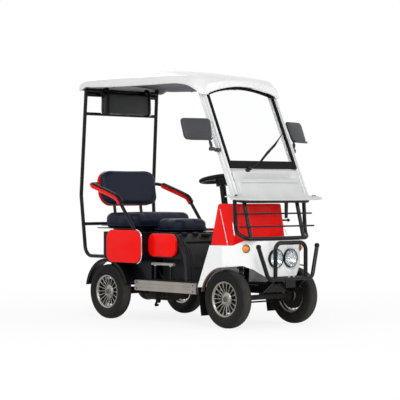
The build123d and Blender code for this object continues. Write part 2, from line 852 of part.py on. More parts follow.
# Bumper: an outer U of tube with capped tips, an inner hoop, and brackets from the rails
with BuildPart() as bumper:
    add(bent_tube(((bumper_tip_x, -bumper_tip_y, bumper_tip_z), (bumper_low_x, -bumper_low_y, bumper_low_z),
                   (bumper_low_x, bumper_low_y, bumper_low_z), (bumper_tip_x, bumper_tip_y, bumper_tip_z)),
                  bumper_d, [45, 45]))
    add(bent_tube(((hoop_x, -hoop_y, bumper_low_z), (hoop_x, -hoop_y, hoop_top_z), (hoop_x, hoop_y, hoop_top_z),
                   (hoop_x, hoop_y, bumper_low_z)), bumper_d, [hoop_bend, hoop_bend]))
    for side in (-1, 1):
        with Locations((bumper_tip_x, side * bumper_tip_y, bumper_tip_z)):
            Sphere(bumper_d / 2 + 2)
        add(block((hoop_x - plate_t, -plate_half_w, bumper_low_z - plate_h),
                  (hoop_x, plate_half_w, bumper_low_z)))
        add(side_slab(((rail_front_x, rail_top_z - rail_h), (rail_front_x + 30, rail_top_z - rail_h),
                       (bumper_low_x, bumper_low_z - bumper_d / 2 + 4), (bumper_low_x, bumper_low_z + 6),
                       (bumper_low_x - 20, bumper_low_z + 6), (rail_front_x, rail_top_z)),
                      bracket_t / 2).moved(Location((0, side * rail_y, 0))))
bumper.part.label = "bumper"
export_step(bumper.part, "parts/bumper.step")

# Front rack: four uprights from the pillar feet, a low bar over the nose and two rods
with BuildPart() as front_rack:
    add(bent_tube(((rack_top_x, -rack_outer_y, rack_top_z), (rack_top_x + 14, -rack_outer_y, rack_low_z + 40),
                   (rack_front_x, 20 - rack_low_half_w, rack_low_z), (rack_front_x, rack_low_half_w - 20, rack_low_z),
                   (rack_top_x + 14, rack_outer_y, rack_low_z + 40), (rack_top_x, rack_outer_y, rack_top_z)),
                  rack_d, [60, 60, 60, 60]))
    for side in (-1, 1):
        add(bent_tube(((rack_top_x, side * rack_inner_y, rack_top_z),
                       (rack_front_x, side * rack_inner_y, rack_low_z)), rack_d))
    add(bar_along_y(rack_top_x, rack_top_z - rack_d / 2, -rack_outer_y, rack_outer_y, rack_d - 4))
    add(bent_tube(((rack_top_x, -rack_outer_y, rack_top_z - rack_d), (visor_bar_x, -visor_bar_half_w, visor_bar_z),
                   (visor_bar_x, visor_bar_half_w, visor_bar_z), (rack_top_x, rack_outer_y, rack_top_z - rack_d)),
                  visor_bar_d, [visor_bar_bend, visor_bar_bend]))
    add(side_slab(((visor_bar_x - 5, visor_bar_z), (visor_bar_x + 7, visor_bar_z), (visor_bar_x + 3, hook_low_z),
                   (visor_bar_x - 3, hook_low_z)), hook_w / 2).moved(Location((0, hook_y, 0))))
    for rod_z in rack_rod_z:
        rod_x = rack_top_x + rod_lead + (rack_front_x - rack_top_x) * (rack_top_z - rod_z) / (rack_top_z - rack_low_z)
        add(bar_along_y(rod_x, rod_z, -rack_rod_half_w, rack_rod_half_w, rack_rod_d))
front_rack.part.label = "front_rack"
export_step(front_rack.part, "parts/front_rack.step")

# Roof: ruled through a few arched sections, open below
# share of the length from the rear, lower edge, side height, crown height
roof_table = (
    (0, 1582, 1640, 1668),
    (0.273, 1600, 1662, 1708),
    (0.607, 1608, 1672, 1700),
    (0.893, 1604, 1664, 1684),
    (0.970, 1556, 1640, 1668),
    (1, 1515, 1572, 1620),
)


def roof_form(inset, low=None):
    """The roof's outer form, moved inwards by an inset, or a cavity that starts at a low height."""
    half = roof_half_w - inset
    with BuildPart() as form:
        for share, low_z, side_z, crown_z in roof_table:
            x = roof_rear_x + share * (roof_front_x - roof_rear_x)
            station = min(max(x, roof_rear_x + inset), roof_front_x - inset)
            with BuildSketch(Plane.YZ.offset(station)):
                with BuildLine():
                    Polyline((-half, side_z - inset), (-half, low or low_z), (half, low or low_z),
                             (half, side_z - inset))
                    ThreePointArc((half, side_z - inset), (0, crown_z - inset), (-half, side_z - inset))
                make_face()
        loft(ruled=True)
    return form.part


roof_cavity = roof_form(roof_wall, roof_cut_z)
roof_top_z = max(row[3] for row in roof_table)
above_ceiling = block((roof_rear_x - cut_margin, -roof_half_w, roof_cut_z),
                      (roof_front_x + cut_margin, roof_half_w, roof_top_z + cut_margin)) - roof_cavity
with BuildPart() as roof:
    add(roof_form(0))
    add(roof_cavity, mode=Mode.SUBTRACT)
    with BuildSketch(Plane.YZ.offset(roof_front_x - 20)):
        with BuildLine():
            ThreePointArc((-roof_arch_half_w, roof_arch_side_z), (0, roof_arch_side_z + screen_crown),
                          (roof_arch_half_w, roof_arch_side_z))
            Polyline((roof_arch_half_w, roof_arch_side_z), (roof_arch_half_w, roof_cut_z - 20),
                     (-roof_arch_half_w, roof_cut_z - 20), (-roof_arch_half_w, roof_arch_side_z))
        make_face()
    extrude(amount=60, mode=Mode.SUBTRACT)
roof.part.label = "roof"
export_step(roof.part, "parts/roof.step")

# Windscreen pillars, up into the roof
pillar_head_x = pillar_foot_x + screen_lean * (pillar_head_z - pillar_foot_z)
with BuildPart() as pillars:
    with BuildSketch(Plane.XZ.offset(pillar_w / 2 - pillar_y)):
        with BuildLine():
            Polyline((pillar_foot_x - pillar_t / 2, pillar_foot_z), (pillar_foot_x + pillar_t / 2, pillar_foot_z),
                     (pillar_head_x + pillar_t / 2, pillar_head_z),
                     (pillar_head_x - pillar_t / 2, pillar_head_z), close=True)
        make_face()
    extrude(amount=-pillar_w)
    mirror(about=Plane.XZ)
    add(above_ceiling, mode=Mode.SUBTRACT)
pillars.part.label = "pillars"
export_step(pillars.part, "parts/pillars.step")

# Windscreen glass in a rubber seal with a deep foot
screen_len = ((screen_foot_x - screen_top_x) ** 2 + (screen_top_z - screen_foot_z) ** 2) ** 0.5
screen_plane = Plane(origin=(screen_foot_x, 0, screen_foot_z), x_dir=(0, 1, 0),
                     z_dir=((screen_top_z - screen_foot_z) / screen_len, 0,
                            (screen_foot_x - screen_top_x) / screen_len))


def screen_outline(edge, foot):
    """The glass's outline, moved inwards by an edge all round and by a foot below."""
    half = screen_half_w - edge
    top = screen_len - edge
    with BuildSketch() as outline:
        with BuildLine():
            Polyline((-half, top), (-half, foot), (half, foot), (half, top))
            ThreePointArc((half, top), (0, top + screen_crown), (-half, top))
        make_face()
    return outline.sketch


with BuildPart() as windscreen_glass:
    with BuildSketch(screen_plane.offset(-screen_t / 2)):
        add(screen_outline(seal_w + seat_gap, seal_foot_w + seat_gap))
    extrude(amount=screen_t)
windscreen_glass.part.label = "windscreen_glass"
export_step(windscreen_glass.part, "parts/windscreen_glass.step")

with BuildPart() as windscreen_seal:
    with BuildSketch(screen_plane.offset(-seal_t / 2)):
        add(screen_outline(0, 0))
        add(screen_outline(seal_w, seal_foot_w), mode=Mode.SUBTRACT)
    extrude(amount=seal_t)
windscreen_seal.part.label = "windscreen_seal"
export_step(windscreen_seal.part, "parts/windscreen_seal.step")

# Wiper: pivot boss on the seal's foot, arm and blade
wiper_out = seal_t / 2 + wiper_d
wiper_points = [tuple(screen_plane.from_local_coords(point)) for point in (
    (wiper_pivot_y, wiper_pivot_v, wiper_out), (wiper_bend_y, wiper_bend_v, wiper_out),
    (wiper_tip_y, wiper_tip_v, wiper_out))]
with BuildPart() as wiper:
    add(bent_tube(wiper_points, wiper_d, [wiper_bend]))
    with BuildSketch(screen_plane.offset(seal_t / 2)):
        with Locations((wiper_pivot_y, wiper_pivot_v)):
            Circle(wiper_d * 1.3)
    extrude(amount=wiper_d * 1.8)
wiper.part.label = "wiper"
export_step(wiper.part, "parts/wiper.step")

# Cowl under the windscreen: a bowed panel with a visor lip, side wings and a tab beside each pillar's foot
# forward of the screen's foot, below it
cowl_table = ((4, 8), (29, 30), (47, 59), (61, 83), (79, 135), (95, 175), (137, 203))
cowl_line = tuple((screen_foot_x + ahead, screen_foot_z - drop) for ahead, drop in cowl_table)
lip_x = cowl_line[-1][0]
pillar_face_x = pillar_foot_x + pillar_t / 2
with BuildPart() as cowl:
    add(side_slab(cowl_line + tuple((x - 4, z - cowl_t) for x, z in reversed(cowl_line)), wing_half_w))
    with BuildSketch(Plane.XY.offset(visor_bar_z)):
        with BuildLine():
            Polyline((lip_x - 8, -cowl_half_w), (lip_x - 16, -wing_half_w), (pillar_face_x + 24, -wing_half_w),
                     (pillar_face_x + 3, -cowl_half_w), (screen_foot_x - 60, -cowl_half_w),
                     (screen_foot_x - 60, cowl_half_w), (pillar_face_x + 3, cowl_half_w),
                     (pillar_face_x + 24, wing_half_w), (lip_x - 16, wing_half_w), (lip_x - 8, cowl_half_w))
            ThreePointArc((lip_x - 8, cowl_half_w), (lip_x + 4, 0), (lip_x - 8, -cowl_half_w))
        make_face()
    extrude(amount=screen_foot_z - visor_bar_z, mode=Mode.INTERSECT)
    tab_x = pillar_face_x + 22
    tab_z = cowl_line[-2][1] - (tab_x - cowl_line[-2][0]) * (cowl_line[-2][1] - cowl_line[-1][1]) / (lip_x - cowl_line[-2][0])
    for side in (-1, 1):
        with BuildSketch(Plane.XY.offset(tab_z - cowl_t)):
            with Locations(((pillar_foot_x - 20 + tab_x) / 2, side * (pillar_y + pillar_w / 2 + 4 + wing_tab_y) / 2)):
                Rectangle(tab_x - pillar_foot_x + 20, wing_tab_y - pillar_y - pillar_w / 2 - 4)
        extrude(amount=wing_tab_t)
cowl.part.label = "cowl"
export_step(cowl.part, "parts/cowl.step")

# Mirrors on the pillars
pillar_side_y = pillar_y + pillar_w / 2
with BuildPart() as mirrors:
    with BuildSketch(Plane.YZ.offset(mirror_x - mirror_t / 2)):
        with Locations(((mirror_inner_y + mirror_outer_y) / 2, (mirror_low_z + mirror_top_z) / 2)):
            RectangleRounded(mirror_outer_y - mirror_inner_y, mirror_top_z - mirror_low_z, 28)
    extrude(amount=mirror_t)
    add(block((clamp_x - 16, pillar_side_y, clamp_z - 15), (clamp_x + 16, pillar_side_y + 24, clamp_z + 15)))
    add(bent_tube(((clamp_x, pillar_side_y + 13, clamp_z), (mirror_x, pillar_side_y + 26, mirror_low_z + 12)), 12))
    mirror(about=Plane.XZ)
mirrors.part.label = "mirrors"
export_step(mirrors.part, "parts/mirrors.step")

with BuildPart() as mirror_glass:
    with BuildSketch(Plane.YZ.offset(mirror_x - mirror_t / 2)):
        with Locations(((mirror_inner_y + mirror_outer_y) / 2, (mirror_low_z + mirror_top_z) / 2)):
            RectangleRounded(mirror_outer_y - mirror_inner_y - 16, mirror_top_z - mirror_low_z - 16, 20)
    extrude(amount=-mirror_glass_t)
    mirror(about=Plane.XZ)
mirror_glass.part.label = "mirror_glass"
export_step(mirror_glass.part, "parts/mirror_glass.step")


# Canopy frame: two bent posts that run forward to the body, joined by three bars
def post_x_at(z):
    """The middle of a post at a height, on its straight runs."""
    if z > post_kink_z:
        return post_kink_x + (post_top_x - post_kink_x) * (z - post_kink_z) / (post_top_z - post_kink_z)
    return post_kink_x + (post_foot_x - post_kink_x) * (post_kink_z - z) / (post_kink_z - post_foot_z)


post_head_z = 1690.0
with BuildPart() as canopy_frame:
    for side in (-1, 1):
        add(bent_tube(((post_x_at(post_head_z), side * post_top_y, post_head_z),
                       (post_kink_x, side * post_kink_y, post_kink_z),
                       (post_foot_x, side * post_foot_y, post_foot_z),
                       (box_rear_x, side * post_foot_y, post_foot_z)), post_d, [200, post_bend]))
    for bar_z, bar_d in ((top_bar_z, top_bar_d), (mid_bar_z, post_d - 3), (low_bar_z, post_d - 3)):
        add(bar_along_y(post_x_at(bar_z), bar_z, -post_top_y, post_top_y, bar_d))
    add(above_ceiling, mode=Mode.SUBTRACT)
canopy_frame.part.label = "canopy_frame"
export_step(canopy_frame.part, "parts/canopy_frame.step")

# Rolled rain curtain in its pouch, hung on the top bar
pouch_rear_x = post_x_at(top_bar_z) + top_bar_d / 2 + seat_gap
top_bar_x = post_x_at(top_bar_z)
with BuildPart() as curtain_pouch:
    with BuildSketch(Plane.XZ.offset(-pouch_half_w)):
        with Locations((pouch_rear_x + pouch_t / 2, (pouch_low_z + pouch_top_z) / 2)):
            RectangleRounded(pouch_t, pouch_top_z - pouch_low_z, 14)
    extrude(amount=2 * pouch_half_w)
    for side in (-1, 1):
        with BuildSketch(Plane.XZ.offset(-side * pouch_strap_y + pouch_strap_w / 2)):
            with Locations((top_bar_x, top_bar_z)):
                Circle(top_bar_d / 2 + seat_gap + pouch_strap_t)
            with Locations((pouch_rear_x + pouch_strap_t, top_bar_z - 12)):
                Rectangle(2 * pouch_strap_t, 48)
            with Locations((top_bar_x, top_bar_z)):
                Circle(top_bar_d / 2 + seat_gap, mode=Mode.SUBTRACT)
        extrude(amount=-pouch_strap_w)
curtain_pouch.part.label = "curtain_pouch"
export_step(curtain_pouch.part, "parts/curtain_pouch.step")

# Rear body: a wide upper box over the wheels and a narrow well between them, open below
mudguard_top_z = axle_z + mudguard_r
box_low_z = mudguard_top_z + seat_gap
with BuildPart() as rear_body:
    for inset, mode, low, high in ((0, Mode.ADD, box_low_z, box_top_z),
                                   (box_wall, Mode.SUBTRACT, box_low_z + box_wall, box_top_z - box_wall)):
        with BuildSketch(Plane.XY.offset(low)):
            with Locations(((box_rear_x + box_front_x) / 2, 0)):
                plan = Rectangle(box_front_x - box_rear_x - 2 * inset, 2 * (box_half_w - inset))
            fillet(plan.vertices().group_by(Axis.X)[0], box_corner_r - inset)
        extrude(amount=high - low, mode=mode)
    with BuildSketch(Plane.XY.offset(rail_top_z + seat_gap)):
        with Locations(((box_rear_x + box_front_x) / 2, 0)):
            Rectangle(box_front_x - box_rear_x, 2 * well_half_w)
            Rectangle(box_front_x - box_rear_x - 2 * box_wall, 2 * (well_half_w - box_wall),
                      mode=Mode.SUBTRACT)
    extrude(amount=box_low_z - rail_top_z - seat_gap + 1)
    with BuildSketch(Plane.XY.offset(rail_top_z)):
        with Locations(((box_rear_x + box_front_x) / 2, 0)):
            Rectangle(box_front_x - box_rear_x - 2 * box_wall, 2 * (well_half_w - box_wall))
    extrude(amount=box_low_z + 2 * box_wall - rail_top_z, mode=Mode.SUBTRACT)
rear_body.part.label = "rear_body"
export_step(rear_body.part, "parts/rear_body.step")

# Mudguards over the rear wheels
with BuildPart() as mudguards:
    with BuildSketch(Plane.XZ.offset(-box_half_w)):
        with Locations((rear_x, axle_z)):
            Circle(mudguard_r)
            Circle(mudguard_r - mudguard_t, mode=Mode.SUBTRACT)
    extrude(amount=box_half_w - well_half_w - seat_gap)
    with BuildSketch(Plane.XZ.offset(-box_half_w)):
        with Locations((rear_x, axle_z)):
            Circle(mudguard_r)
            Circle(mudguard_r - mudguard_lip, mode=Mode.SUBTRACT)
    extrude(amount=mudguard_t)
    guard_reach = 2 * mudguard_r
    add(side_slab(((rear_x - guard_reach, mudguard_rear_z), (rear_x, mudguard_rear_z), (rear_x, axle_z),
                   (rear_x + guard_reach, axle_z + guard_reach * mudguard_front_rise),
                   (rear_x + guard_reach, -guard_reach), (rear_x - guard_reach, -guard_reach)), 2 * box_half_w),
        mode=Mode.SUBTRACT)
    mirror(about=Plane.XZ)
mudguards.part.label = "mudguards"
export_step(mudguards.part, "parts/mudguards.step")


# Seat box under the driver's seat, and the curved cover in front of it
cover_foot_low_z = floor_top_z + seat_gap


def cover_line(back):
    """The cover's side line, moved back by a distance: an arc down from the top, then a straight foot."""
    top = (cover_front_x - cover_top_back - back / 2, cover_top_z - back)
    bulge = (cover_front_x - cover_bulge_back - back, cover_bulge_z - back / 3)
    foot = (cover_front_x - cover_foot_back - back, cover_foot_z)
    with BuildLine() as line:
        ThreePointArc(top, bulge, foot)
        Line(foot, (cover_front_x - back, cover_foot_low_z))
    return line.line


def cover_band(back, depth, low_z, high_z, half_w):
    """A band that follows the cover between two heights, from one depth behind its line to another."""
    with BuildPart() as band:
        with BuildSketch(Plane.XZ):
            with BuildLine():
                add(cover_line(back))
                Line((cover_front_x - back, cover_foot_low_z), (cover_front_x - depth, cover_foot_low_z))
                add(cover_line(depth))
                Line((cover_front_x - cover_top_back - depth / 2, cover_top_z - depth),
                     (cover_front_x - cover_top_back - back / 2, cover_top_z - back))
            make_face()
        extrude(amount=half_w, both=True)
        add(block((cover_front_x - cut_margin, -half_w, low_z), (cover_front_x + cut_margin, half_w, high_z)),
            mode=Mode.INTERSECT)
    return band.part


with BuildPart() as battery_cover:
    with BuildSketch(Plane.XZ):
        with BuildLine():
            add(cover_line(0))
            Line((cover_front_x, cover_foot_low_z), (cover_front_x - cover_t, cover_foot_low_z))
            add(cover_line(cover_t))
            Polyline((cover_front_x - cover_top_back - cover_t / 2, cover_top_z - cover_t),
                     (cover_front_x - cover_lip_back, cover_top_z - cover_t),
                     (cover_front_x - cover_lip_back, cover_top_z), (cover_front_x - cover_top_back, cover_top_z))
        make_face()
    extrude(amount=floor_half_w, both=True)
    add(cover_band(-door_rise, cover_t / 2, door_low_z, door_top_z, door_half_w))
    add(cover_band(-door_rise, slot_depth, slot_low_z, slot_top_z, slot_half_w), mode=Mode.SUBTRACT)
battery_cover.part.label = "battery_cover"
export_step(battery_cover.part, "parts/battery_cover.step")

with BuildPart() as seat_box:
    with BuildSketch(Plane.XZ):
        with BuildLine():
            back = cover_t + seat_gap
            lip_back_x = cover_front_x - cover_lip_back - seat_gap
            add(cover_line(back))
            Polyline((cover_front_x - back, cover_foot_low_z), (box_front_x + seat_gap, cover_foot_low_z),
                     (box_front_x + seat_gap, seat_box_top_z), (lip_back_x, seat_box_top_z),
                     (lip_back_x, cover_top_z - back),
                     (cover_front_x - cover_top_back - back / 2, cover_top_z - back))
        make_face()
    extrude(amount=seat_box_half_w, both=True)
    add(block((box_front_x - cut_margin, -2 * seat_box_half_w, 0),
              (cover_front_x + cut_margin, 2 * seat_box_half_w, seat_box_low_z)), mode=Mode.SUBTRACT)
seat_box.part.label = "seat_box"
export_step(seat_box.part, "parts/seat_box.step")

# Battery, one closed block on the floor behind the cover
with BuildPart() as battery:
    add(block((battery_rear_x, -battery_half_w, floor_top_z + seat_gap),
              (battery_front_x, battery_half_w, battery_top_z)))
battery.part.label = "battery"
export_step(battery.part, "parts/battery.step")

# Silver tubes beside the battery, each on two legs from the floor
with BuildPart() as side_tubes:
    for side in (-1, 1):
        with BuildSketch(Plane.YZ.offset(box_front_x + 1)):
            with Locations((side * side_tube_y, side_tube_z)):
                Circle(side_tube_d / 2)
        extrude(amount=side_tube_front_x - box_front_x - 1)
        with BuildSketch(Plane.XY.offset(floor_top_z + seat_gap)):
            with Locations(*((leg_x, side * side_tube_y) for leg_x in side_leg_x)):
                Circle(side_tube_d / 2 - 2)
        extrude(amount=side_tube_z - floor_top_z)
side_tubes.part.label = "side_tubes"
export_step(side_tubes.part, "parts/side_tubes.step")

# Gloss side panels: a large one on the rear body and a small, thick one on the seat box
# middle x, middle z, length, height, corner radius, the side it seats on, thickness, edge radius
panel_table = (
    (rear_panel_mid_x, rear_panel_mid_z, rear_panel_len, rear_panel_h, 62, box_half_w + seat_gap,
     panel_t, panel_edge_r),
    (front_panel_mid_x, front_panel_mid_z, front_panel_len, front_panel_h, 55, seat_box_half_w + seat_gap,
     front_panel_t, 2 * panel_edge_r),
)


def gloss_panel(mid_x, mid_z, length, height, corner, seat_y, thickness, edge_r):
    """One rounded panel on the left side, with a soft outer edge."""
    with BuildPart() as panel:
        with BuildSketch(Plane.XZ.offset(-seat_y)):
            with Locations((mid_x, mid_z)):
                RectangleRounded(length, height, corner)
        extrude(amount=-thickness)
        fillet(panel.faces().sort_by(Axis.Y)[-1].edges(), edge_r)
    return panel.part


with BuildPart() as side_panels:
    for panel_row in panel_table:
        add(gloss_panel(*panel_row))
    mirror(about=Plane.XZ)
side_panels.part.label = "side_panels"
export_step(side_panels.part, "parts/side_panels.step")

# Rear lamps on the body's back
with BuildPart() as tail_lamps:
    for side in (-1, 1):
        with BuildSketch(Plane.YZ.offset(box_rear_x - seat_gap)):
            with Locations((side * tail_lamp_y, tail_lamp_z)):
                RectangleRounded(70, 90, 16)
        extrude(amount=-18)
tail_lamps.part.label = "tail_lamps"
export_step(tail_lamps.part, "parts/tail_lamps.step")

# Seat cushions
with BuildPart() as rear_seat:
    add(rounded_slab(bench_rear_x, bench_front_x, bench_half_w, bench_low_z, bench_top_z, bench_corner_r, 34))
rear_seat.part.label = "rear_seat"
export_step(rear_seat.part, "parts/rear_seat.step")

with BuildPart() as driver_seat:
    add(rounded_slab(driver_rear_x, driver_front_x, driver_half_w, driver_low_z, driver_top_z,
                     driver_corner_r, 30))
driver_seat.part.label = "driver_seat"
export_step(driver_seat.part, "parts/driver_seat.step")

# Backrest: cushion in front of a moulded shell, leaning back
back_h = back_top_z - back_low_z
shell_half_w = back_half_w - back_shell_inset
back_plane = Plane(origin=(back_mid_x, 0, (back_low_z + back_top_z) / 2), x_dir=(0, 1, 0),
                   z_dir=(cos(radians(back_lean)), 0, sin(radians(back_lean))))
with BuildPart() as backrest:
    with BuildSketch(back_plane.offset(seat_gap)):
        RectangleRounded(2 * back_half_w, back_h, back_corner_r)
    extrude(amount=back_cushion_t)
    fillet(backrest.faces().sort_by(Axis.X)[-1].edges(), 22)
backrest.part.label = "backrest"
export_step(backrest.part, "parts/backrest.step")

with BuildPart() as backrest_shell:
    with BuildSketch(back_plane):
        RectangleRounded(2 * shell_half_w, back_h - 2 * back_shell_inset, back_corner_r - back_shell_inset)
    extrude(amount=-back_shell_t)
backrest_shell.part.label = "backrest_shell"
export_step(backrest_shell.part, "parts/backrest_shell.step")

# Seat frame: pan on two cross rails, backrest struts and the tube that forms both armrests
arm_start = back_plane.from_local_coords((0, (arm_rear_z - back_plane.origin.Z) / cos(radians(back_lean)),
                                          -back_shell_t / 2))
with BuildPart() as seat_frame:
    add(block((pan_rear_x, -bench_half_w + 15, bench_low_z - seat_gap - pan_t),
              (bench_front_x, bench_half_w - 15, bench_low_z - seat_gap)))
    for rail_x in (box_rear_x + 30, bench_front_x - 30):
        add(block((rail_x - 15, -bench_half_w + 15, box_top_z), (rail_x + 15, bench_half_w - 15, bench_low_z - pan_t)))
    for side in (-1, 1):
        strut_top = back_plane.from_local_coords((side * strut_y, back_shell_inset - back_h / 2 - seat_gap, -back_shell_t / 2))
        strut_foot = back_plane.from_local_coords((side * strut_y, -back_h / 2 - 175, -back_shell_t / 2))
        add(bent_tube((tuple(strut_top), tuple(strut_foot)), strut_d))
        add(bent_tube(((arm_start.X, side * (shell_half_w + seat_gap), arm_start.Z),
                       (arm_start.X, side * arm_y, arm_start.Z), (arm_front_x, side * arm_y, arm_front_z),
                       (arm_foot_x, side * arm_y, box_top_z - 40)), arm_tube_d, [34, 90]))
    add(block((arm_foot_x - cut_margin, -box_half_w, box_top_z - cut_margin),
              (arm_foot_x + cut_margin, box_half_w, box_top_z)), mode=Mode.SUBTRACT)
    add(block((pan_rear_x - cut_margin, -2 * strut_y, box_top_z - cut_margin),
              (pan_rear_x + 60, 2 * strut_y, bench_low_z - seat_gap - pan_t)), mode=Mode.SUBTRACT)
seat_frame.part.label = "seat_frame"
export_step(seat_frame.part, "parts/seat_frame.step")

# Armrests round the sloping tube: a pad above and a gloss cover below
arm_run = Vector(arm_front_x - arm_start.X, 0, arm_front_z - arm_start.Z)
arm_mid = Vector(arm_start.X, -arm_y, arm_start.Z) + arm_run * 0.14
arm_plane = Plane(origin=arm_mid, x_dir=(0, 1, 0), z_dir=arm_run.normalized())
for upper, arm_name in ((True, "armrest_pads"), (False, "armrest_covers")):
    with BuildPart() as armrest:
        with BuildSketch(arm_plane):
            Circle(arm_pad_r)
            Circle(arm_tube_d / 2 + seat_gap, mode=Mode.SUBTRACT)
            with Locations((0, (-1 if upper else 1) * (arm_pad_r - arm_split))):
                Rectangle(3 * arm_pad_r, 2 * arm_pad_r, mode=Mode.SUBTRACT)
        extrude(amount=arm_run.length * 0.62)
        mirror(about=Plane.XZ)
    armrest.part.label = arm_name
    export_step(armrest.part, f"parts/{arm_name}.step")

# Pedals in the footwell, on stems from the floor
with BuildPart() as pedals:
    for pad_y in pedal_y:
        with BuildSketch(Plane.XY.offset(floor_top_z + seat_gap)):
            with Locations((pedal_x, pad_y)):
                Circle(pedal_stem_d / 2)
        extrude(amount=pedal_z - floor_top_z)
        add(block((pedal_x - pedal_stem_d / 2 - pedal_t, pad_y - pedal_w / 2, pedal_z - pedal_h / 2),
                  (pedal_x - pedal_stem_d / 2 + 2, pad_y + pedal_w / 2, pedal_z + pedal_h / 2)))
pedals.part.label = "pedals"
export_step(pedals.part, "parts/pedals.step")

# Parking brake lever on the console's left side
with BuildPart() as brake_lever:
    add(bar_along_y(lever_x, lever_z, console_top_half_w, lever_y, lever_d))
    with Locations((lever_x, lever_y, lever_z)):
        Sphere(lever_knob_d / 2)
    add(console_form(-seat_gap), mode=Mode.SUBTRACT)
brake_lever.part.label = "brake_lever"
export_step(brake_lever.part, "parts/brake_lever.step")
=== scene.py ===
"""Four-wheeled electric passenger cart with a canopy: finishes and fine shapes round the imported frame.

Metres. +X forward, +Y to the driver's left, +Z up, the origin on the ground under the middle of the cart.
"""
import json
import logging
import math
from collections.abc import Sequence
from dataclasses import dataclass
from enum import Enum

import bmesh
import bpy
import numpy as np
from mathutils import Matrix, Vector

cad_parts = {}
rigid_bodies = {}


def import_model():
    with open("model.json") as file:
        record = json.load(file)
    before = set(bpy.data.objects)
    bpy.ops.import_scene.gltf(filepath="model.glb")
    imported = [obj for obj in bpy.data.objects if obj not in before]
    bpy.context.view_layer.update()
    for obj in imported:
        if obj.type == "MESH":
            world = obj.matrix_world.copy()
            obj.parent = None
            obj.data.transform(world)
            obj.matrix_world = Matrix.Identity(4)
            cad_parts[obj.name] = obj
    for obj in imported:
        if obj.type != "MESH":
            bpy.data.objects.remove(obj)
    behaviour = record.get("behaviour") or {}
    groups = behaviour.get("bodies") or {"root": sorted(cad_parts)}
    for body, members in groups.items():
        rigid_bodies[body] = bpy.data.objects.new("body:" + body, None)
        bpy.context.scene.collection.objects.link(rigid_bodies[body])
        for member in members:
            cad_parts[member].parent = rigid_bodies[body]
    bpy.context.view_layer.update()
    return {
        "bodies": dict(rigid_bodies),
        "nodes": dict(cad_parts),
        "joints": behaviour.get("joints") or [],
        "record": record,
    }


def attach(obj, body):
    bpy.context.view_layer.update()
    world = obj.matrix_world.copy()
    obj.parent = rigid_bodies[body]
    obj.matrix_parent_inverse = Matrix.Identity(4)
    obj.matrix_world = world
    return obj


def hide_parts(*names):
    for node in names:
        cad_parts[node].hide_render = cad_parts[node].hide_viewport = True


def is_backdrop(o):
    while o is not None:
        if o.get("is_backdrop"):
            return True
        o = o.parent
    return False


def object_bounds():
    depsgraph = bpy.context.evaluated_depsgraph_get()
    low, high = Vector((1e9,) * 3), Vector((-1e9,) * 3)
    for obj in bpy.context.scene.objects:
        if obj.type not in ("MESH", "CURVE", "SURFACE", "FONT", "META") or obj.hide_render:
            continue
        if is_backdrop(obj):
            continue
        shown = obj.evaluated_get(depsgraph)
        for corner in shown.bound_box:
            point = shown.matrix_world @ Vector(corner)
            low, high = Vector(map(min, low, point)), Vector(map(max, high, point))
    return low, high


LOG = logging.getLogger("cart")
TAU = 2.0 * math.pi
MM = 0.001
CHASSIS = "chassis"
# Distance under which points of one piece are merged.
WELD = 0.001 * MM
FORWARD = (1.0, 0.0, 0.0)
LEFT = (0.0, 1.0, 0.0)
UP = (0.0, 0.0, 1.0)
# Roughness of the clear coat over a lacquer or a gel coat.
COAT_ROUGHNESS = 0.04
# How much of a relief's height the surface shows.
RELIEF_STRENGTH = 0.6
# Clouds for each metre and finer layers of the colour patches, the dust's flecks and the smears on glass.
PATCH_NOISE = (9.0, 4.0)
FLECK_NOISE = (60.0, 6.0)
SMEAR_NOISE = (14.0, 3.0)
# How far the roughness strays either way, as a share of it, on a solid surface and on glass.
SOLID_SPREAD = 0.18
GLASS_SPREAD = 0.5
# Levels of the patch noise that count as the one and the other shade.
PATCH_LEVELS = (0.2, 0.8)
# Heights between which road dust thins out, in metres, and its colour.
DUST_HEIGHTS = (0.02, 0.40)
DUST_COLOUR = "8C8578"
# How far a face may look sideways to count as tread: all of it, and none of it.
TREAD_FACING = (0.25, 0.85)
# Share of the lighter tread colour on the faces that don't look sideways.
TREAD_TINT = 0.9
# Degrees past which an edge of a turned or bent metal piece stays sharp.
SHARP = 40.0
# Share of a crowned plate's outline at which its rim starts to round.
FLAT_SHARE = 0.86

Socket = bpy.types.NodeSocket
Tree = bpy.types.NodeTree
Piece = bpy.types.Object
Colour = tuple[float, float, float, float]


# Nodes and colours
def linear(hex_code: str) -> Colour:
    """Turns an sRGB hex colour into the linear values that shaders take.

    Args:
        hex_code: six hex digits.

    Returns:
        Linear red, green, blue and an alpha of 1.
    """
    coded = np.array([int(hex_code[i:i + 2], 16) / 255.0 for i in (0, 2, 4)])
    plain = np.where(coded <= 0.04045, coded / 12.92, ((coded + 0.055) / 1.055) ** 2.4)
    return (*plain.tolist(), 1.0)


def mm(*rows: float | Sequence[float]) -> np.ndarray:
    """Turns millimetres into metres."""
    return np.array(rows, float) * MM


def add_node(tree: Tree, kind: str, settings: dict | None = None,
             links: dict | None = None) -> bpy.types.Node:
    """Adds one node with its settings and its incoming links.

    Args:
        tree: the node tree that gets the node.
        kind: the node's type name.
        settings: values by input name, by input number or by property name.
        links: output sockets by the name or number of the input that each feeds.

    Returns:
        The new node.
    """
    node = tree.nodes.new(kind)
    for key, value in (settings or {}).items():
        if not isinstance(key, int) and hasattr(node, key):
            setattr(node, key, value)
    for key, value in (settings or {}).items():
        if isinstance(key, int) or not hasattr(node, key):
            node.inputs[key].default_value = value
    for key, source in (links or {}).items():
        tree.links.new(source, node.inputs[key])
    return node


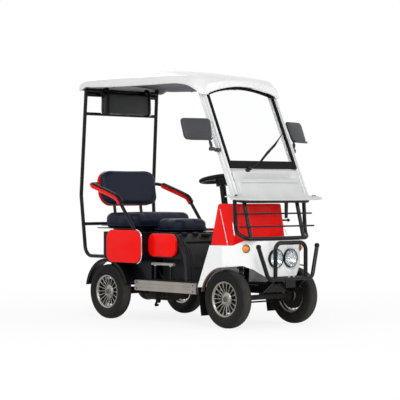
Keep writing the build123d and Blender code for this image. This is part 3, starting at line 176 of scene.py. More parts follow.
def maths(tree: Tree, operation: str, *terms: Socket | float) -> Socket:
    """Adds one calculation on sockets and numbers.

    Args:
        tree: the node tree.
        operation: its name, such as MULTIPLY.
        terms: sockets or numbers, in the order of the inputs.

    Returns:
        The result's socket.
    """
    numbers = {place: term for place, term in enumerate(terms) if isinstance(term, float)}
    sockets = {place: term for place, term in enumerate(terms) if place not in numbers}
    return add_node(tree, "ShaderNodeMath", {"operation": operation, **numbers}, sockets).outputs[0]


def remap(tree: Tree, value: Socket, ends: tuple[float, float],
          levels: tuple[float, float] = (0.0, 1.0)) -> Socket:
    """Stretches a value: the first level becomes the first end and the second level the second end."""
    settings = {"From Min": levels[0], "From Max": levels[1], "To Min": ends[0], "To Max": ends[1]}
    return add_node(tree, "ShaderNodeMapRange", settings, {"Value": value}).outputs[0]


def noise(tree: Tree, place: Socket, scale: float, detail: float = 2.0) -> Socket:
    """Adds cloudy noise at the given coordinates."""
    return add_node(tree, "ShaderNodeTexNoise", {"Scale": scale, "Detail": detail},
                    {"Vector": place}).outputs["Fac"]


def blend(tree: Tree, share: Socket, under: Socket | Colour, over: Colour) -> Socket:
    """Lays one colour over another.

    Args:
        tree: the node tree.
        share: how much of the upper colour shows.
        under: the lower colour or its socket.
        over: the upper colour.

    Returns:
        The colour's socket.
    """
    settings = {"data_type": "RGBA", 7: over}
    links = {0: share}
    if isinstance(under, tuple):
        settings[6] = under
    else:
        links[6] = under
    return add_node(tree, "ShaderNodeMix", settings, links).outputs[2]


def coordinate(tree: Tree, place: Socket, axis: str) -> Socket:
    """One coordinate of a place or a direction."""
    return add_node(tree, "ShaderNodeSeparateXYZ", None, {0: place}).outputs[axis]


def new_material(name: str) -> tuple[bpy.types.Material, Tree, Socket]:
    """Makes a node material.

    Args:
        name: the real material.

    Returns:
        The material, its node tree and object coordinates in metres.
    """
    mat = bpy.data.materials.new(name)
    mat.use_nodes = True
    place = add_node(mat.node_tree, "ShaderNodeTexCoord").outputs["Object"]
    return mat, mat.node_tree, place


def set_surface(tree: Tree, **values: float | Colour) -> None:
    """Sets the surface's own values.

    Args:
        tree: the material's node tree.
        values: values by input name, with underscores for spaces.
    """
    shader = tree.nodes["Principled BSDF"]
    for name, value in values.items():
        shader.inputs[name.replace("_", " ")].default_value = value


class Pattern(Enum):
    """The kinds of fine relief that the cart's finishes have."""

    GRAIN = "noise"
    BRUSHED = "lines along X"
    PEBBLE = "leather pebble"
    WEAVE = "plain weave"
    CRAZE = "scuffed skin"


@dataclass(frozen=True)
class Finish:
    """A surface finish with colour drift, uneven gloss and a fine relief.

    Attributes:
        name: the real material and how its surface was made.
        base: main colour, sRGB hex.
        drift: the colour that patches of it drift towards, sRGB hex.
        roughness: middle roughness of the surface.
        pattern: kind of fine relief.
        size_mm: spacing of that relief.
        depth_mm: height of that relief.
        metallic: 1 for bare metal.
        coat: clear coat weight.
        dust: how much pale dust lies low on the cart.
        specular: strength of the reflection of a surface that isn't metal, 0.5 for common plastics.
        split: height under which the paint has another colour, in metres, and that colour.
        tread: colour that the faces which don't look sideways turn towards, sRGB hex, or nothing for none.
    """

    name: str
    base: str
    drift: str
    roughness: float
    pattern: Pattern
    size_mm: float
    depth_mm: float
    metallic: float = 0.0
    coat: float = 0.0
    dust: float = 0.0
    specular: float = 0.5
    split: tuple[float, str] | None = None
    tread: str = ""

    def relief(self, tree: Tree, place: Socket) -> Socket:
        """Builds the height signal of the pattern.

        Args:
            tree: the material's node tree.
            place: object coordinates in metres.

        Returns:
            The height socket, from about 0 to 1.
        """
        scale = 1.0 / (self.size_mm * MM)
        if self.pattern is Pattern.PEBBLE:
            cells = add_node(tree, "ShaderNodeTexVoronoi", {"feature": "SMOOTH_F1", "Scale": scale},
                             {"Vector": place})
            return cells.outputs["Distance"]
        if self.pattern is Pattern.WEAVE:
            bands = [add_node(tree, "ShaderNodeTexWave", {"bands_direction": way, "Scale": scale / 4},
                              {"Vector": place}).outputs["Fac"] for way in ("Y", "Z")]
            return maths(tree, "MAXIMUM", *bands)
        stretch = (0.02, 1.0, 1.0) if self.pattern is Pattern.BRUSHED else (1.0, 1.0, 1.0)
        spread = add_node(tree, "ShaderNodeMapping", {"Scale": stretch}, {"Vector": place})
        detail = 5.0 if self.pattern is Pattern.CRAZE else 2.0
        return noise(tree, spread.outputs[0], scale, detail)

    def colour(self, tree: Tree, place: Socket, patch: Socket) -> Socket:
        """Builds the colour: soft patches of two shades, road dust, a lighter tread and a second paint.

        Args:
            tree: the material's node tree.
            place: object coordinates in metres.
            patch: the noise that parts the shades.

        Returns:
            The colour's socket.
        """
        spread = remap(tree, patch, (0.0, 1.0), PATCH_LEVELS)
        mixed = blend(tree, spread, linear(self.base), linear(self.drift))
        if self.dust:
            low = remap(tree, coordinate(tree, place, "Z"), (self.dust, 0.0), DUST_HEIGHTS)
            flecks = noise(tree, place, *FLECK_NOISE)
            mixed = blend(tree, maths(tree, "MULTIPLY", low, flecks), mixed, linear(DUST_COLOUR))
        # The faces that don't look sideways turn towards a lighter grey, in patches.
        if self.tread:
            facing = add_node(tree, "ShaderNodeTexCoord").outputs["Normal"]
            sideways = maths(tree, "ABSOLUTE", coordinate(tree, facing, "Y"))
            tread_tint_share = remap(tree, sideways, (TREAD_TINT, 0.0), TREAD_FACING)
            mixed = blend(tree, maths(tree, "MULTIPLY", tread_tint_share, patch), mixed, linear(self.tread))
        if self.split:
            height, paint = self.split
            below = maths(tree, "LESS_THAN", coordinate(tree, place, "Z"), height)
            mixed = blend(tree, below, mixed, linear(paint))
        return mixed

    def material(self) -> bpy.types.Material:
        """Builds the node material, or returns it if an earlier piece has it.

        Returns:
            The material.
        """
        if self.name in bpy.data.materials:
            return bpy.data.materials[self.name]
        mat, tree, place = new_material(self.name)
        shader = tree.nodes["Principled BSDF"]
        patch = noise(tree, place, *PATCH_NOISE)
        rough = self.roughness * (1 + SOLID_SPREAD)
        gloss = remap(tree, patch, (self.roughness * (1 - SOLID_SPREAD), min(1.0, rough)))
        bump = add_node(tree, "ShaderNodeBump",
                        {"Strength": RELIEF_STRENGTH, "Distance": self.depth_mm * MM},
                        {"Height": self.relief(tree, place)})
        tree.links.new(self.colour(tree, place, patch), shader.inputs["Base Color"])
        tree.links.new(gloss, shader.inputs["Roughness"])
        tree.links.new(bump.outputs[0], shader.inputs["Normal"])
        set_surface(tree, Metallic=self.metallic, Coat_Weight=self.coat, Coat_Roughness=COAT_ROUGHNESS,
                    Specular_IOR_Level=self.specular)
        return mat


@dataclass(frozen=True)
class ClearFinish:
    """A see-through finish: sheet glass, a lens or a clear wrap.

    Attributes:
        name: the real material and how its surface was made.
        tint: colour of what passes through, sRGB hex.
        roughness: of the surface.
        ior: index of refraction.
        transmission: share of light that passes.
        alpha: opacity of a sheet too thin to bend light.
    """

    name: str
    tint: str
    roughness: float
    ior: float
    transmission: float = 1.0
    alpha: float = 1.0

    def material(self) -> bpy.types.Material:
        """Builds the node material with a faint unevenness of its gloss.

        Returns:
            The material.
        """
        if self.name in bpy.data.materials:
            return bpy.data.materials[self.name]
        mat, tree, place = new_material(self.name)
        smear = noise(tree, place, *SMEAR_NOISE)
        gloss = remap(tree, smear, (self.roughness * (1 - GLASS_SPREAD), self.roughness * (1 + GLASS_SPREAD)))
        tree.links.new(gloss, tree.nodes["Principled BSDF"].inputs["Roughness"])
        set_surface(tree, Base_Color=linear(self.tint), IOR=self.ior, Alpha=self.alpha,
                    Transmission_Weight=self.transmission)
        return mat


# Meshes from whole arrays
def quads(rows: int, columns: int, loop_rows: bool, loop_columns: bool) -> np.ndarray:
    """Quad indices of a grid whose points are numbered row by row.

    Args:
        rows: points in the first direction.
        columns: points in the second direction.
        loop_rows: the last row joins the first.
        loop_columns: the last column joins the first.

    Returns:
        An array of shape (faces, 4).
    """
    i = np.arange(rows if loop_rows else rows - 1)[:, None]
    j = np.arange(columns if loop_columns else columns - 1)[None, :]
    a, b = i, (i + 1) % rows
    c, d = j, (j + 1) % columns
    corners = [a * columns + c, b * columns + c, b * columns + d, a * columns + d]
    return np.stack(corners, -1).reshape(-1, 4)


@dataclass
class Sheet:
    """One grid of points that becomes part of a piece.

    Attributes:
        points: array of shape (rows, columns, 3), or (copies, rows, columns, 3) for repeats.
        loop_rows: the last row joins the first.
        loop_columns: the last column joins the first.
    """

    points: np.ndarray
    loop_rows: bool = False
    loop_columns: bool = False

    def faces(self) -> np.ndarray:
        """Quad indices of the grid or of all its copies.

        Returns:
            An array of shape (faces, 4).
        """
        copies = self.points.reshape(-1, *self.points.shape[-3:])
        count, rows, columns = copies.shape[:3]
        one = quads(rows, columns, self.loop_rows, self.loop_columns)
        return (one[None] + (np.arange(count) * rows * columns)[:, None, None]).reshape(-1, 4)


def build(name: str, sheets: Sequence[Sheet]) -> Piece:
    """Puts grids into one smooth mesh, welds their seams and poles and turns the faces outwards.

    Args:
        name: the piece's name.
        sheets: the grids.

    Returns:
        The new object, at the origin.
    """
    points, faces, start = [], [], 0
    for sheet in sheets:
        points.append(sheet.points.reshape(-1, 3))
        faces.append(sheet.faces() + start)
        start += len(points[-1])
    mesh = bpy.data.meshes.new(name)
    mesh.from_pydata(np.concatenate(points).tolist(), [], np.concatenate(faces).tolist())
    shape = bmesh.new()
    shape.from_mesh(mesh)
    bmesh.ops.remove_doubles(shape, verts=shape.verts, dist=WELD)
    bmesh.ops.dissolve_degenerate(shape, edges=shape.edges, dist=WELD)
    bmesh.ops.recalc_face_normals(shape, faces=shape.faces)
    shape.to_mesh(mesh)
    shape.free()
    mesh.shade_smooth()
    piece = bpy.data.objects.new(name, mesh)
    bpy.context.scene.collection.objects.link(piece)
    return piece


def soft_edges(piece: Piece, degrees: float) -> None:
    """Shades a piece smooth except at edges sharper than an angle."""
    piece.data.set_sharp_from_angle(angle=math.radians(degrees))


def turned(profile: np.ndarray, centre: Sequence[float], axis: Sequence[float], steps: int = 64) -> Sheet:
    """A profile turned about an axis: centre + along * axis + radius * (cos t, sin t) at angle t.

    Args:
        profile: pairs of radius and distance along the axis, in metres.
        centre: a point of the axis.
        axis: direction of the axis.
        steps: points round.

    Returns:
        A grid closed round the axis.
    """
    along = np.asarray(axis, float) / np.linalg.norm(axis)
    side = np.cross(along, (0, 0, 1.0) if abs(along[2]) < 0.9 else (1.0, 0, 0))
    side /= np.linalg.norm(side)
    other = np.cross(along, side)
    radius, reach = np.asarray(profile, float).T
    t = np.linspace(0, TAU, steps, endpoint=False)[:, None, None]
    ring = np.cos(t) * side + np.sin(t) * other
    points = np.asarray(centre, float) + ring * radius[None, :, None] + reach[None, :, None] * along
    return Sheet(points, loop_rows=True)


def tube(path: np.ndarray, radius: float | np.ndarray, up: Sequence[float] = (0, 0, 1), sides: int = 12,
         closed: bool = False, flat: float = 1.0) -> Sheet:
    """A round section carried along a path: path + radius * (cos s * across + flat * sin s * over).

    Args:
        path: points of shape (n, 3).
        radius: one radius or one for each point.
        up: a direction never along the path, from which the section's axes come.
        sides: points round the section.
        closed: the path is a loop. An open path is closed by pinching its ends to poles.
        flat: height of the section against its width.

    Returns:
        The grid.
    """
    path = np.asarray(path, float)
    if closed:
        ahead = np.roll(path, -1, 0) - np.roll(path, 1, 0)
        size = np.broadcast_to(radius, len(path))
    else:
        ahead = np.gradient(path, axis=0)
        ahead = np.concatenate([ahead[:1], ahead, ahead[-1:]])
        size = np.concatenate([[0.0], np.broadcast_to(radius, len(path)), [0.0]])
        path = np.concatenate([path[:1], path, path[-1:]])
    ahead = ahead / np.linalg.norm(ahead, axis=1, keepdims=True)
    across = np.cross(ahead, np.asarray(up, float))
    across /= np.linalg.norm(across, axis=1, keepdims=True)
    over = np.cross(across, ahead)
    s = np.linspace(0, TAU, sides, endpoint=False)[None, :, None]
    ring = np.cos(s) * across[:, None] + flat * np.sin(s) * over[:, None]
    return Sheet(path[:, None] + ring * size[:, None, None], loop_rows=closed, loop_columns=True)


def bend(t: np.ndarray, start: np.ndarray, pull: np.ndarray, end: np.ndarray) -> np.ndarray:
    """A quadratic curve from start to end that leaves and arrives in the direction of a third point."""
    return (1 - t) ** 2 * start + 2 * t * (1 - t) * pull + t ** 2 * end


def rounded_path(corners: Sequence[Sequence[float]], radius: float, steps: int = 8) -> np.ndarray:
    """A polyline whose corners are replaced by quadratic curves that start a radius before each corner.

    Args:
        corners: the corner points.
        radius: how far before and after a corner its curve starts and ends.
        steps: points on each curve.

    Returns:
        Points of shape (n, 3).
    """
    corner = np.asarray(corners, float)
    middle = corner[1:-1]
    before = corner[:-2] - middle
    after = corner[2:] - middle
    start = middle + before / np.linalg.norm(before, axis=1, keepdims=True) * radius
    end = middle + after / np.linalg.norm(after, axis=1, keepdims=True) * radius
    t = np.linspace(0, 1, steps)[None, :, None]
    curve = bend(t, start[:, None], middle[:, None], end[:, None])
    path = np.concatenate([corner[:1], curve.reshape(-1, 3), corner[-1:]])
    apart = np.linalg.norm(np.diff(path, axis=0), axis=1) > 1e-6
    return path[np.concatenate([[True], apart])]


def superellipsoid(centre: Sequence[float], half: Sequence[float], square: float = 0.4,
                   steps: int = 24) -> Sheet:
    """A rounded block: centre + half * signed powers of the sphere's cosines and sines.

    Args:
        centre: its middle.
        half: half sizes along X, Y and Z.
        square: 1 gives an ellipsoid, and smaller values a squarer block.
        steps: rows from pole to pole.

    Returns:
        The closed grid.
    """
    power = lambda value: np.sign(value) * np.abs(value) ** square
    u = np.linspace(-TAU / 4, TAU / 4, steps)[:, None]
    v = np.linspace(0, TAU, 2 * steps, endpoint=False)[None, :]
    ones = np.ones_like(v)
    block = np.stack([power(np.cos(u)) * power(np.cos(v)), power(np.cos(u)) * power(np.sin(v)),
                      power(np.sin(u)) * ones], -1)
    return Sheet(np.asarray(centre, float) + block * np.asarray(half, float), loop_columns=True)


def turn_points(points: np.ndarray, centre: Sequence[float], axis: Sequence[float],
                angle: float | np.ndarray) -> np.ndarray:
    """Turns points about an axis by one angle, or makes one copy for each angle, by Rodrigues' formula.

    Args:
        points: array that ends in 3.
        centre: a point of the axis.
        axis: unit direction of the axis.
        angle: one angle, or an array of them.

    Returns:
        The turned points, with a first dimension for an array of angles.
    """
    k = np.asarray(axis, float)
    p = points - np.asarray(centre, float)
    t = np.asarray(angle, float).reshape(np.shape(angle) + (1,) * p.ndim)
    return centre + p * np.cos(t) + np.cross(k, p) * np.sin(t) + k * (p @ k)[..., None] * (1 - np.cos(t))


def dress(piece: Piece, finish: "Finish | ClearFinish") -> None:
    """Gives a piece or a node of the frame its finish."""
    piece.data.materials.clear()
    piece.data.materials.append(finish.material())


@dataclass
class Assembly:
    """What every sub-assembly shares: the frame's nodes and a way to finish and report its pieces.

    Attributes:
    """

    frame: dict

    def node(self, name: str) -> Piece:
        """The frame's node of that name."""
        return self.frame["nodes"][name]

    def keep(self, name: str, finish: "Finish | ClearFinish") -> None:
        """Dresses a node of the frame whose shape stays."""
        dress(self.node(name), finish)
        LOG.info("kept %s: %s", name, finish.name)

    def place(self, piece: Piece, finish: "Finish | ClearFinish", slot: str, body: str = CHASSIS,
              replaces: Sequence[str] = ()) -> Piece:
        """Finishes a new piece and lets it ride on a body.

        Args:
            piece: the new piece.
            finish: its finish.
            slot: the record's material slot; not used.
            body: the body that it rides on.
            replaces: the frame's nodes that it stands for.

        Returns:
            The piece.
        """
        dress(piece, finish)
        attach(piece, body)
        if replaces:
            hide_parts(*replaces)
        LOG.info("made %s on %s: %s", piece.name, body, finish.name)
        return piece

    def add(self, name: str, sheets: Sequence[Sheet], finish: "Finish | ClearFinish", slot: str,
            body: str = CHASSIS, replaces: Sequence[str] = (), crease: float = 0.0,
            wall: float = 0.0) -> Piece:
        """Builds a piece from grids, finishes it and lets it ride on a body.

        Args:
            name: the piece's name.
            sheets: the grids.
            finish: its finish.
            slot: the record's material slot.
            body: the body that it rides on.
            replaces: the frame's nodes that it stands for.
            crease: degrees past which an edge stays sharp, or 0 for a piece that is smooth all over.
            wall: thickness that an open skin gets, or 0 for a closed piece.

        Returns:
            The piece.
        """
        piece = build(name, sheets)
        if crease:
            soft_edges(piece, crease)
        if wall:
            thicken(piece, wall)
        return self.place(piece, finish, slot, body, replaces)


def hermite(x: np.ndarray, knots: np.ndarray, values: np.ndarray) -> np.ndarray:
    """A smooth curve through the knots: cubic pieces, and at a knot the slope of its neighbours' chord.

    Args:
        x: where to read the curve.
        knots: rising places of the knots.
        values: the curve there, of shape (knots,) or (knots, columns).

    Returns:
        The curve at x.
    """
    values = np.asarray(values, float)
    slopes = np.gradient(values, knots, axis=0)
    at = np.clip(np.searchsorted(knots, x, side="right") - 1, 0, len(knots) - 2)
    gap = (knots[at + 1] - knots[at])
    t = (x - knots[at]) / gap
    if values.ndim == 2:
        gap, t = gap[:, None], t[:, None]
    return ((1 + 2 * t) * (1 - t) ** 2 * values[at] + t * (1 - t) ** 2 * gap * slopes[at]
            + t ** 2 * (3 - 2 * t) * values[at + 1] + t ** 2 * (t - 1) * gap * slopes[at + 1])


def even_curve(line: np.ndarray, share: np.ndarray) -> np.ndarray:
    """A smooth curve through a line's points, read by its share of the line's length."""
    run = np.concatenate([[0], np.cumsum(np.linalg.norm(np.diff(line, axis=0), axis=1))])
    return hermite(share, run / run[-1], line)


def step(value: np.ndarray, edge: float, width: float) -> np.ndarray:
    """A smooth step from 0 to 1: t * t * (3 - 2 * t) over the width about the edge."""
    t = np.clip((value - edge) / width + 0.5, 0, 1)
    return t * t * (3 - 2 * t)


def ridge(value: np.ndarray, middle: float, width: float) -> np.ndarray:
    """A bell from 0 to 1 and back: exp(-((value - middle) / width) ** 2)."""
    return np.exp(-((value - middle) / width) ** 2)


def spacing(*runs: tuple[float, float, int]) -> np.ndarray:
    """Rising places made of runs."""
    return np.unique(np.round(np.concatenate([np.linspace(*run) for run in runs]), 7))


def grid_points(x: np.ndarray, y: np.ndarray, z: np.ndarray) -> np.ndarray:
    """Three coordinates, brought to one shape, as points."""
    return np.stack(np.broadcast_arrays(x, y, z), -1)


def capped(loops: np.ndarray) -> np.ndarray:
    """Closes a row of loops by shrinking the first and the last one to their middles."""
    poles = [np.repeat(loops[end].mean(0, keepdims=True), loops.shape[1], 0)[None] for end in (0, -1)]
    return np.concatenate([poles[0], loops, poles[1]])


def rounded_loop(half_w: float, half_h: float, corner: float, steps: int = 10) -> np.ndarray:
    """A rounded rectangle: quarter circles about four points, which straight sides join.

    Args:
        half_w: half width.
        half_h: half height.
        corner: corner radius.
        steps: points of each corner.

    Returns:
        Points of shape (n, 2), counter-clockwise.
    """
    t = np.linspace(0, TAU / 4, steps)[None, :] + (TAU / 4 * np.arange(4))[:, None]
    sign = np.array([(1, 1), (-1, 1), (-1, -1), (1, -1)], float)[:, None]
    arc = np.stack([np.cos(t), np.sin(t)], -1) * corner
    ring = (sign * (half_w - corner, half_h - corner) + arc).reshape(-1, 2)
    ahead = np.roll(ring, -1, 0)
    return np.stack([ring * 0.75 + ahead * 0.25, ring * 0.25 + ahead * 0.75], 1).reshape(-1, 2)


def domed_plate(centre: Sequence[float], right: Sequence[float], up: Sequence[float],
                half: tuple[float, float], corner: float, height: float, depth: float,
                edge: float = 0.25, rows: int = 12) -> Sheet:
    """A closed plate with a crowned face: the outline shrinks to its middle while it rises.

    From the middle to FLAT_SHARE of the outline the face sinks by share ** 2 of the edge, then a quarter
    circle leads down to the rim, and the back lies flat at minus depth. The outward direction is the cross
    product of right and up.

    Args:
        centre: middle of the plate's seat.
        right: direction of its width.
        up: direction of its height.
        half: half width and half height.
        corner: corner radius.
        height: rise of the crown above the seat.
        depth: thickness behind the seat.
        edge: share of the height that the crown itself takes.
        rows: rows of the crown, and of its rim.

    Returns:
        The closed grid.
    """
    right, up = np.asarray(right, float), np.asarray(up, float)
    out = np.cross(right, up)
    loop = rounded_loop(*half, corner)
    turn = np.linspace(0, TAU / 4, rows)
    crown = np.linspace(0, 1, rows)[:-1]
    rim = FLAT_SHARE + (1 - FLAT_SHARE) * np.sin(turn)
    share = np.concatenate([np.linspace(0, FLAT_SHARE, rows)[:-1], rim, [1.0, 0.985, 0.0]])
    face = height * np.concatenate([1 - edge * crown ** 2, (1 - edge) * np.cos(turn)])
    rise = np.concatenate([face, [-depth * 0.8, -depth, -depth]])
    flat = loop[None] * share[:, None, None]
    points = (np.asarray(centre, float) + flat[..., :1] * right + flat[..., 1:] * up
              + rise[:, None, None] * out)
    return Sheet(points, loop_columns=True)


def prism(section: np.ndarray, start: Sequence[float], end: Sequence[float]) -> Sheet:
    """A level section drawn along a straight run and closed at both ends by shrinking it to its middle."""
    level = np.concatenate([section, np.zeros((len(section), 1))], 1)
    return Sheet(capped(np.stack([level + start, level + end])), loop_columns=True)


def mirrored(sheets: Sequence[Sheet]) -> list[Sheet]:
    """The sheets and their images on the other side of the cart's middle plane."""
    flip = np.array([1.0, -1.0, 1.0])
    return [*sheets, *(Sheet(s.points * flip, s.loop_rows, s.loop_columns) for s in sheets)]


def screws(places: np.ndarray, axis: Sequence[float], radius: float, height: float) -> Sheet:
    """Domed screw heads: one turned profile copied to each place.

    Args:
        places: middles of the heads' seats.
        axis: outward direction.
        radius: of a head.
        height: of a head.

    Returns:
        One grid with a copy for each place.
    """
    profile = np.array([(0, 1.0), (0.45, 0.97), (0.8, 0.75), (1.0, 0.35), (1.0, -0.3), (0, -0.3)])
    one = turned(profile * (radius, height), (0, 0, 0), axis, 12)
    return Sheet(places[:, None, None] + one.points[None], loop_rows=True)


def thicken(piece: Piece, wall: float) -> None:
    """Gives an open skin, whose faces look outwards, a wall behind them."""
    solid = piece.modifiers.new("wall", "SOLIDIFY")
    solid.thickness, solid.offset, solid.use_even_offset = wall, -1.0, True


# Finishes
# Carbon-black tyre rubber, moulded: near black, matt, scuffed, greyer in patches and on the tread.
TYRE = Finish("tyre rubber, moulded", "121213", "1A1A1B", 0.60, Pattern.CRAZE, 3.0, 0.25, dust=0.10,
              specular=0.08, tread="4E4B46")
# Cast aluminium wheel, faces machined, clouded by use: warm grey metal.
ALLOY = Finish("wheel aluminium, cast and machined", "A9A69F", "8D8A83", 0.30, Pattern.GRAIN, 2.0, 0.05,
               metallic=1.0)
# Cast iron brake drum, painted black.
DRUM = Finish("drum iron, black paint", "111112", "1A1918", 0.50, Pattern.CRAZE, 2.0, 0.15, dust=0.1,
              specular=0.1)
# Steel hub cap that has tarnished: warm brown grey.
TARNISH = Finish("hub steel, tarnished", "6E625A", "594E48", 0.42, Pattern.GRAIN, 2.0, 0.08, metallic=1.0)
# Mild steel tube, powder coated gloss black: deep black with long highlights.
POWDER = Finish("steel tube, gloss black powder coat", "0A0A0B", "101011", 0.26, Pattern.GRAIN, 4.0, 0.06,
                coat=0.05, specular=0.2)
# Steel tube, silver paint: the low tubes beside the seat box.
TUBE_SILVER = Finish("steel tube, silver paint", "B9B8B4", "A5A4A0", 0.32, Pattern.GRAIN, 3.0, 0.05,
                     metallic=0.5, split=(0.374, "0D0D0E"))
# Steel forging, satin black paint, dusty from the road.
SATIN = Finish("axle steel, satin black paint", "141416", "1E1E20", 0.45, Pattern.CRAZE, 3.0, 0.12,
               dust=0.15, specular=0.12)
# Spring steel, painted dark bronze grey.
SPRING = Finish("spring steel, bronze grey paint", "75614C", "57483B", 0.38, Pattern.GRAIN, 2.0, 0.06,
                metallic=0.4)
# Steel arch liner, primed brown.
RUST = Finish("arch liner steel, brown primer", "5F4B38", "47382B", 0.50, Pattern.CRAZE, 2.0, 0.10)
# Styrene rubber mat, ribbed: black and matt.
MAT = Finish("floor mat rubber, calendered", "131313", "1C1C1C", 0.70, Pattern.CRAZE, 2.0, 0.20, dust=0.1,
             specular=0.1)
# Aluminium extrusion, mill finish: grey with fine lines along its length.
EXTRUSION = Finish("sill aluminium, extruded", "A8A49D", "928E88", 0.36, Pattern.BRUSHED, 1.2, 0.05,
                   metallic=0.6)
# ABS, injection moulded and lacquered white: clean gloss.
WHITE = Finish("ABS moulding, white lacquer", "F0F0F0", "EAEBEC", 0.18, Pattern.GRAIN, 9.0, 0.08, coat=0.3)
# Aluminium pillar, white powder coat.
PILLAR = Finish("pillar aluminium, white powder coat", "DEDFE0", "D4D5D6", 0.30, Pattern.GRAIN, 4.0, 0.05)
# Fibreglass roof shell, white gel coat: greyer than the body, which partly paints in the shade on the roof's
# side.
GELCOAT = Finish("roof fibreglass, white gel coat", "E0E0DF", "D8D8D7", 0.24, Pattern.GRAIN, 12.0, 0.10,
                 coat=0.2)
# Cowl sheet, silver grey lacquer: satin.
SILVER = Finish("cowl ABS, silver grey lacquer", "C6C7C7", "BCBEBE", 0.32, Pattern.GRAIN, 6.0, 0.06,
                coat=0.1)
# ABS, lacquered signal red: deep gloss.
RED = Finish("ABS moulding, red lacquer", "F5100C", "EC0D09", 0.22, Pattern.GRAIN, 9.0, 0.06, coat=0.03,
             specular=0.12)
# ABS, moulded black gloss: dark with soft reflections.
BLACK = Finish("ABS moulding, gloss black", "0A0A0E", "121217", 0.24, Pattern.GRAIN, 8.0, 0.08, coat=0.03,
               specular=0.15)
# Polypropylene, moulded with a fine grain: charcoal grey, satin.
GRAINED = Finish("polypropylene, moulded grain", "28292B", "323335", 0.42, Pattern.GRAIN, 1.6, 0.12,
                 specular=0.12)
# Polyamide trim: black, half matt.
TRIM = Finish("polyamide trim, moulded", "101011", "1A1A1C", 0.38, Pattern.GRAIN, 2.0, 0.10, specular=0.12)
# Painted light: the same polyamide in a lighter charcoal, for the light on the near mirror housing's face.
TRIM_LIT_CHARCOAL = Finish("polyamide housing, moulded grain", "38393C", "424347", 0.45, Pattern.GRAIN, 1.4, 0.12,
                   specular=0.2)
# Painted shade: a mid grey, matt sheet under the roof, for the shade on the white roof's underside.
SHADE_SHEET = Finish("ABS liner, thermoformed", "808284", "76787A", 0.60, Pattern.GRAIN, 3.0, 0.12, specular=0.2)
# EPDM rubber profile: black and matt.
SEAL = Finish("EPDM seal, extruded", "0A0A0B", "121213", 0.55, Pattern.GRAIN, 2.5, 0.10, specular=0.1)
# Chromed reflector: mirror bright.
CHROME = Finish("reflector chrome, polished", "E6E8EA", "D2D6DA", 0.07, Pattern.GRAIN, 12.0, 0.04,
                metallic=1.0)
# Polyurethane leather over foam: navy black with a fine pebble.
LEATHER = Finish("seat leather, embossed pebble", "121826", "182033", 0.40, Pattern.PEBBLE, 2.6, 0.16,
                 specular=0.14)
# Coated polyester of the rolled curtain.
POUCH = Finish("curtain cloth, coated weave", "101115", "191B20", 0.42, Pattern.WEAVE, 1.6, 0.10,
               specular=0.25)
# Zinc-plated steel of screws and clips: pale grey metal.
ZINC = Finish("screw steel, zinc plated", "A9ABAD", "8E9092", 0.30, Pattern.GRAIN, 1.5, 0.05, metallic=1.0)
# Acrylic amber lens.
AMBER = Finish("acrylic lens, amber", "EE8E10", "E07E0A", 0.12, Pattern.GRAIN, 6.0, 0.05, coat=0.4)
# Acrylic red lens.
LAMP_RED = Finish("acrylic lens, red", "A80B0B", "8E0808", 0.12, Pattern.GRAIN, 6.0, 0.05, coat=0.5)
# Silvered mirror glass.
MIRROR = Finish("mirror glass, silvered", "DDE1E3", "CDD2D6", 0.03, Pattern.GRAIN, 40.0, 0.01, metallic=1.0)
# Laminated screen: clear, thin, only its reflections show.
GLASS = ClearFinish("laminated glass, clear", "FAFCFB", 0.02, 1.01, 1.0, 0.30)
# Polycarbonate lamp lens.
LENS = ClearFinish("polycarbonate lens, clear", "F4F8FA", 0.03, 1.25, 1.0, 0.55)
# Clear vinyl of the pouch's wrap.
WRAP = ClearFinish("vinyl film, clear", "F2F3F2", 0.10, 1.05, 0.9, 0.16)


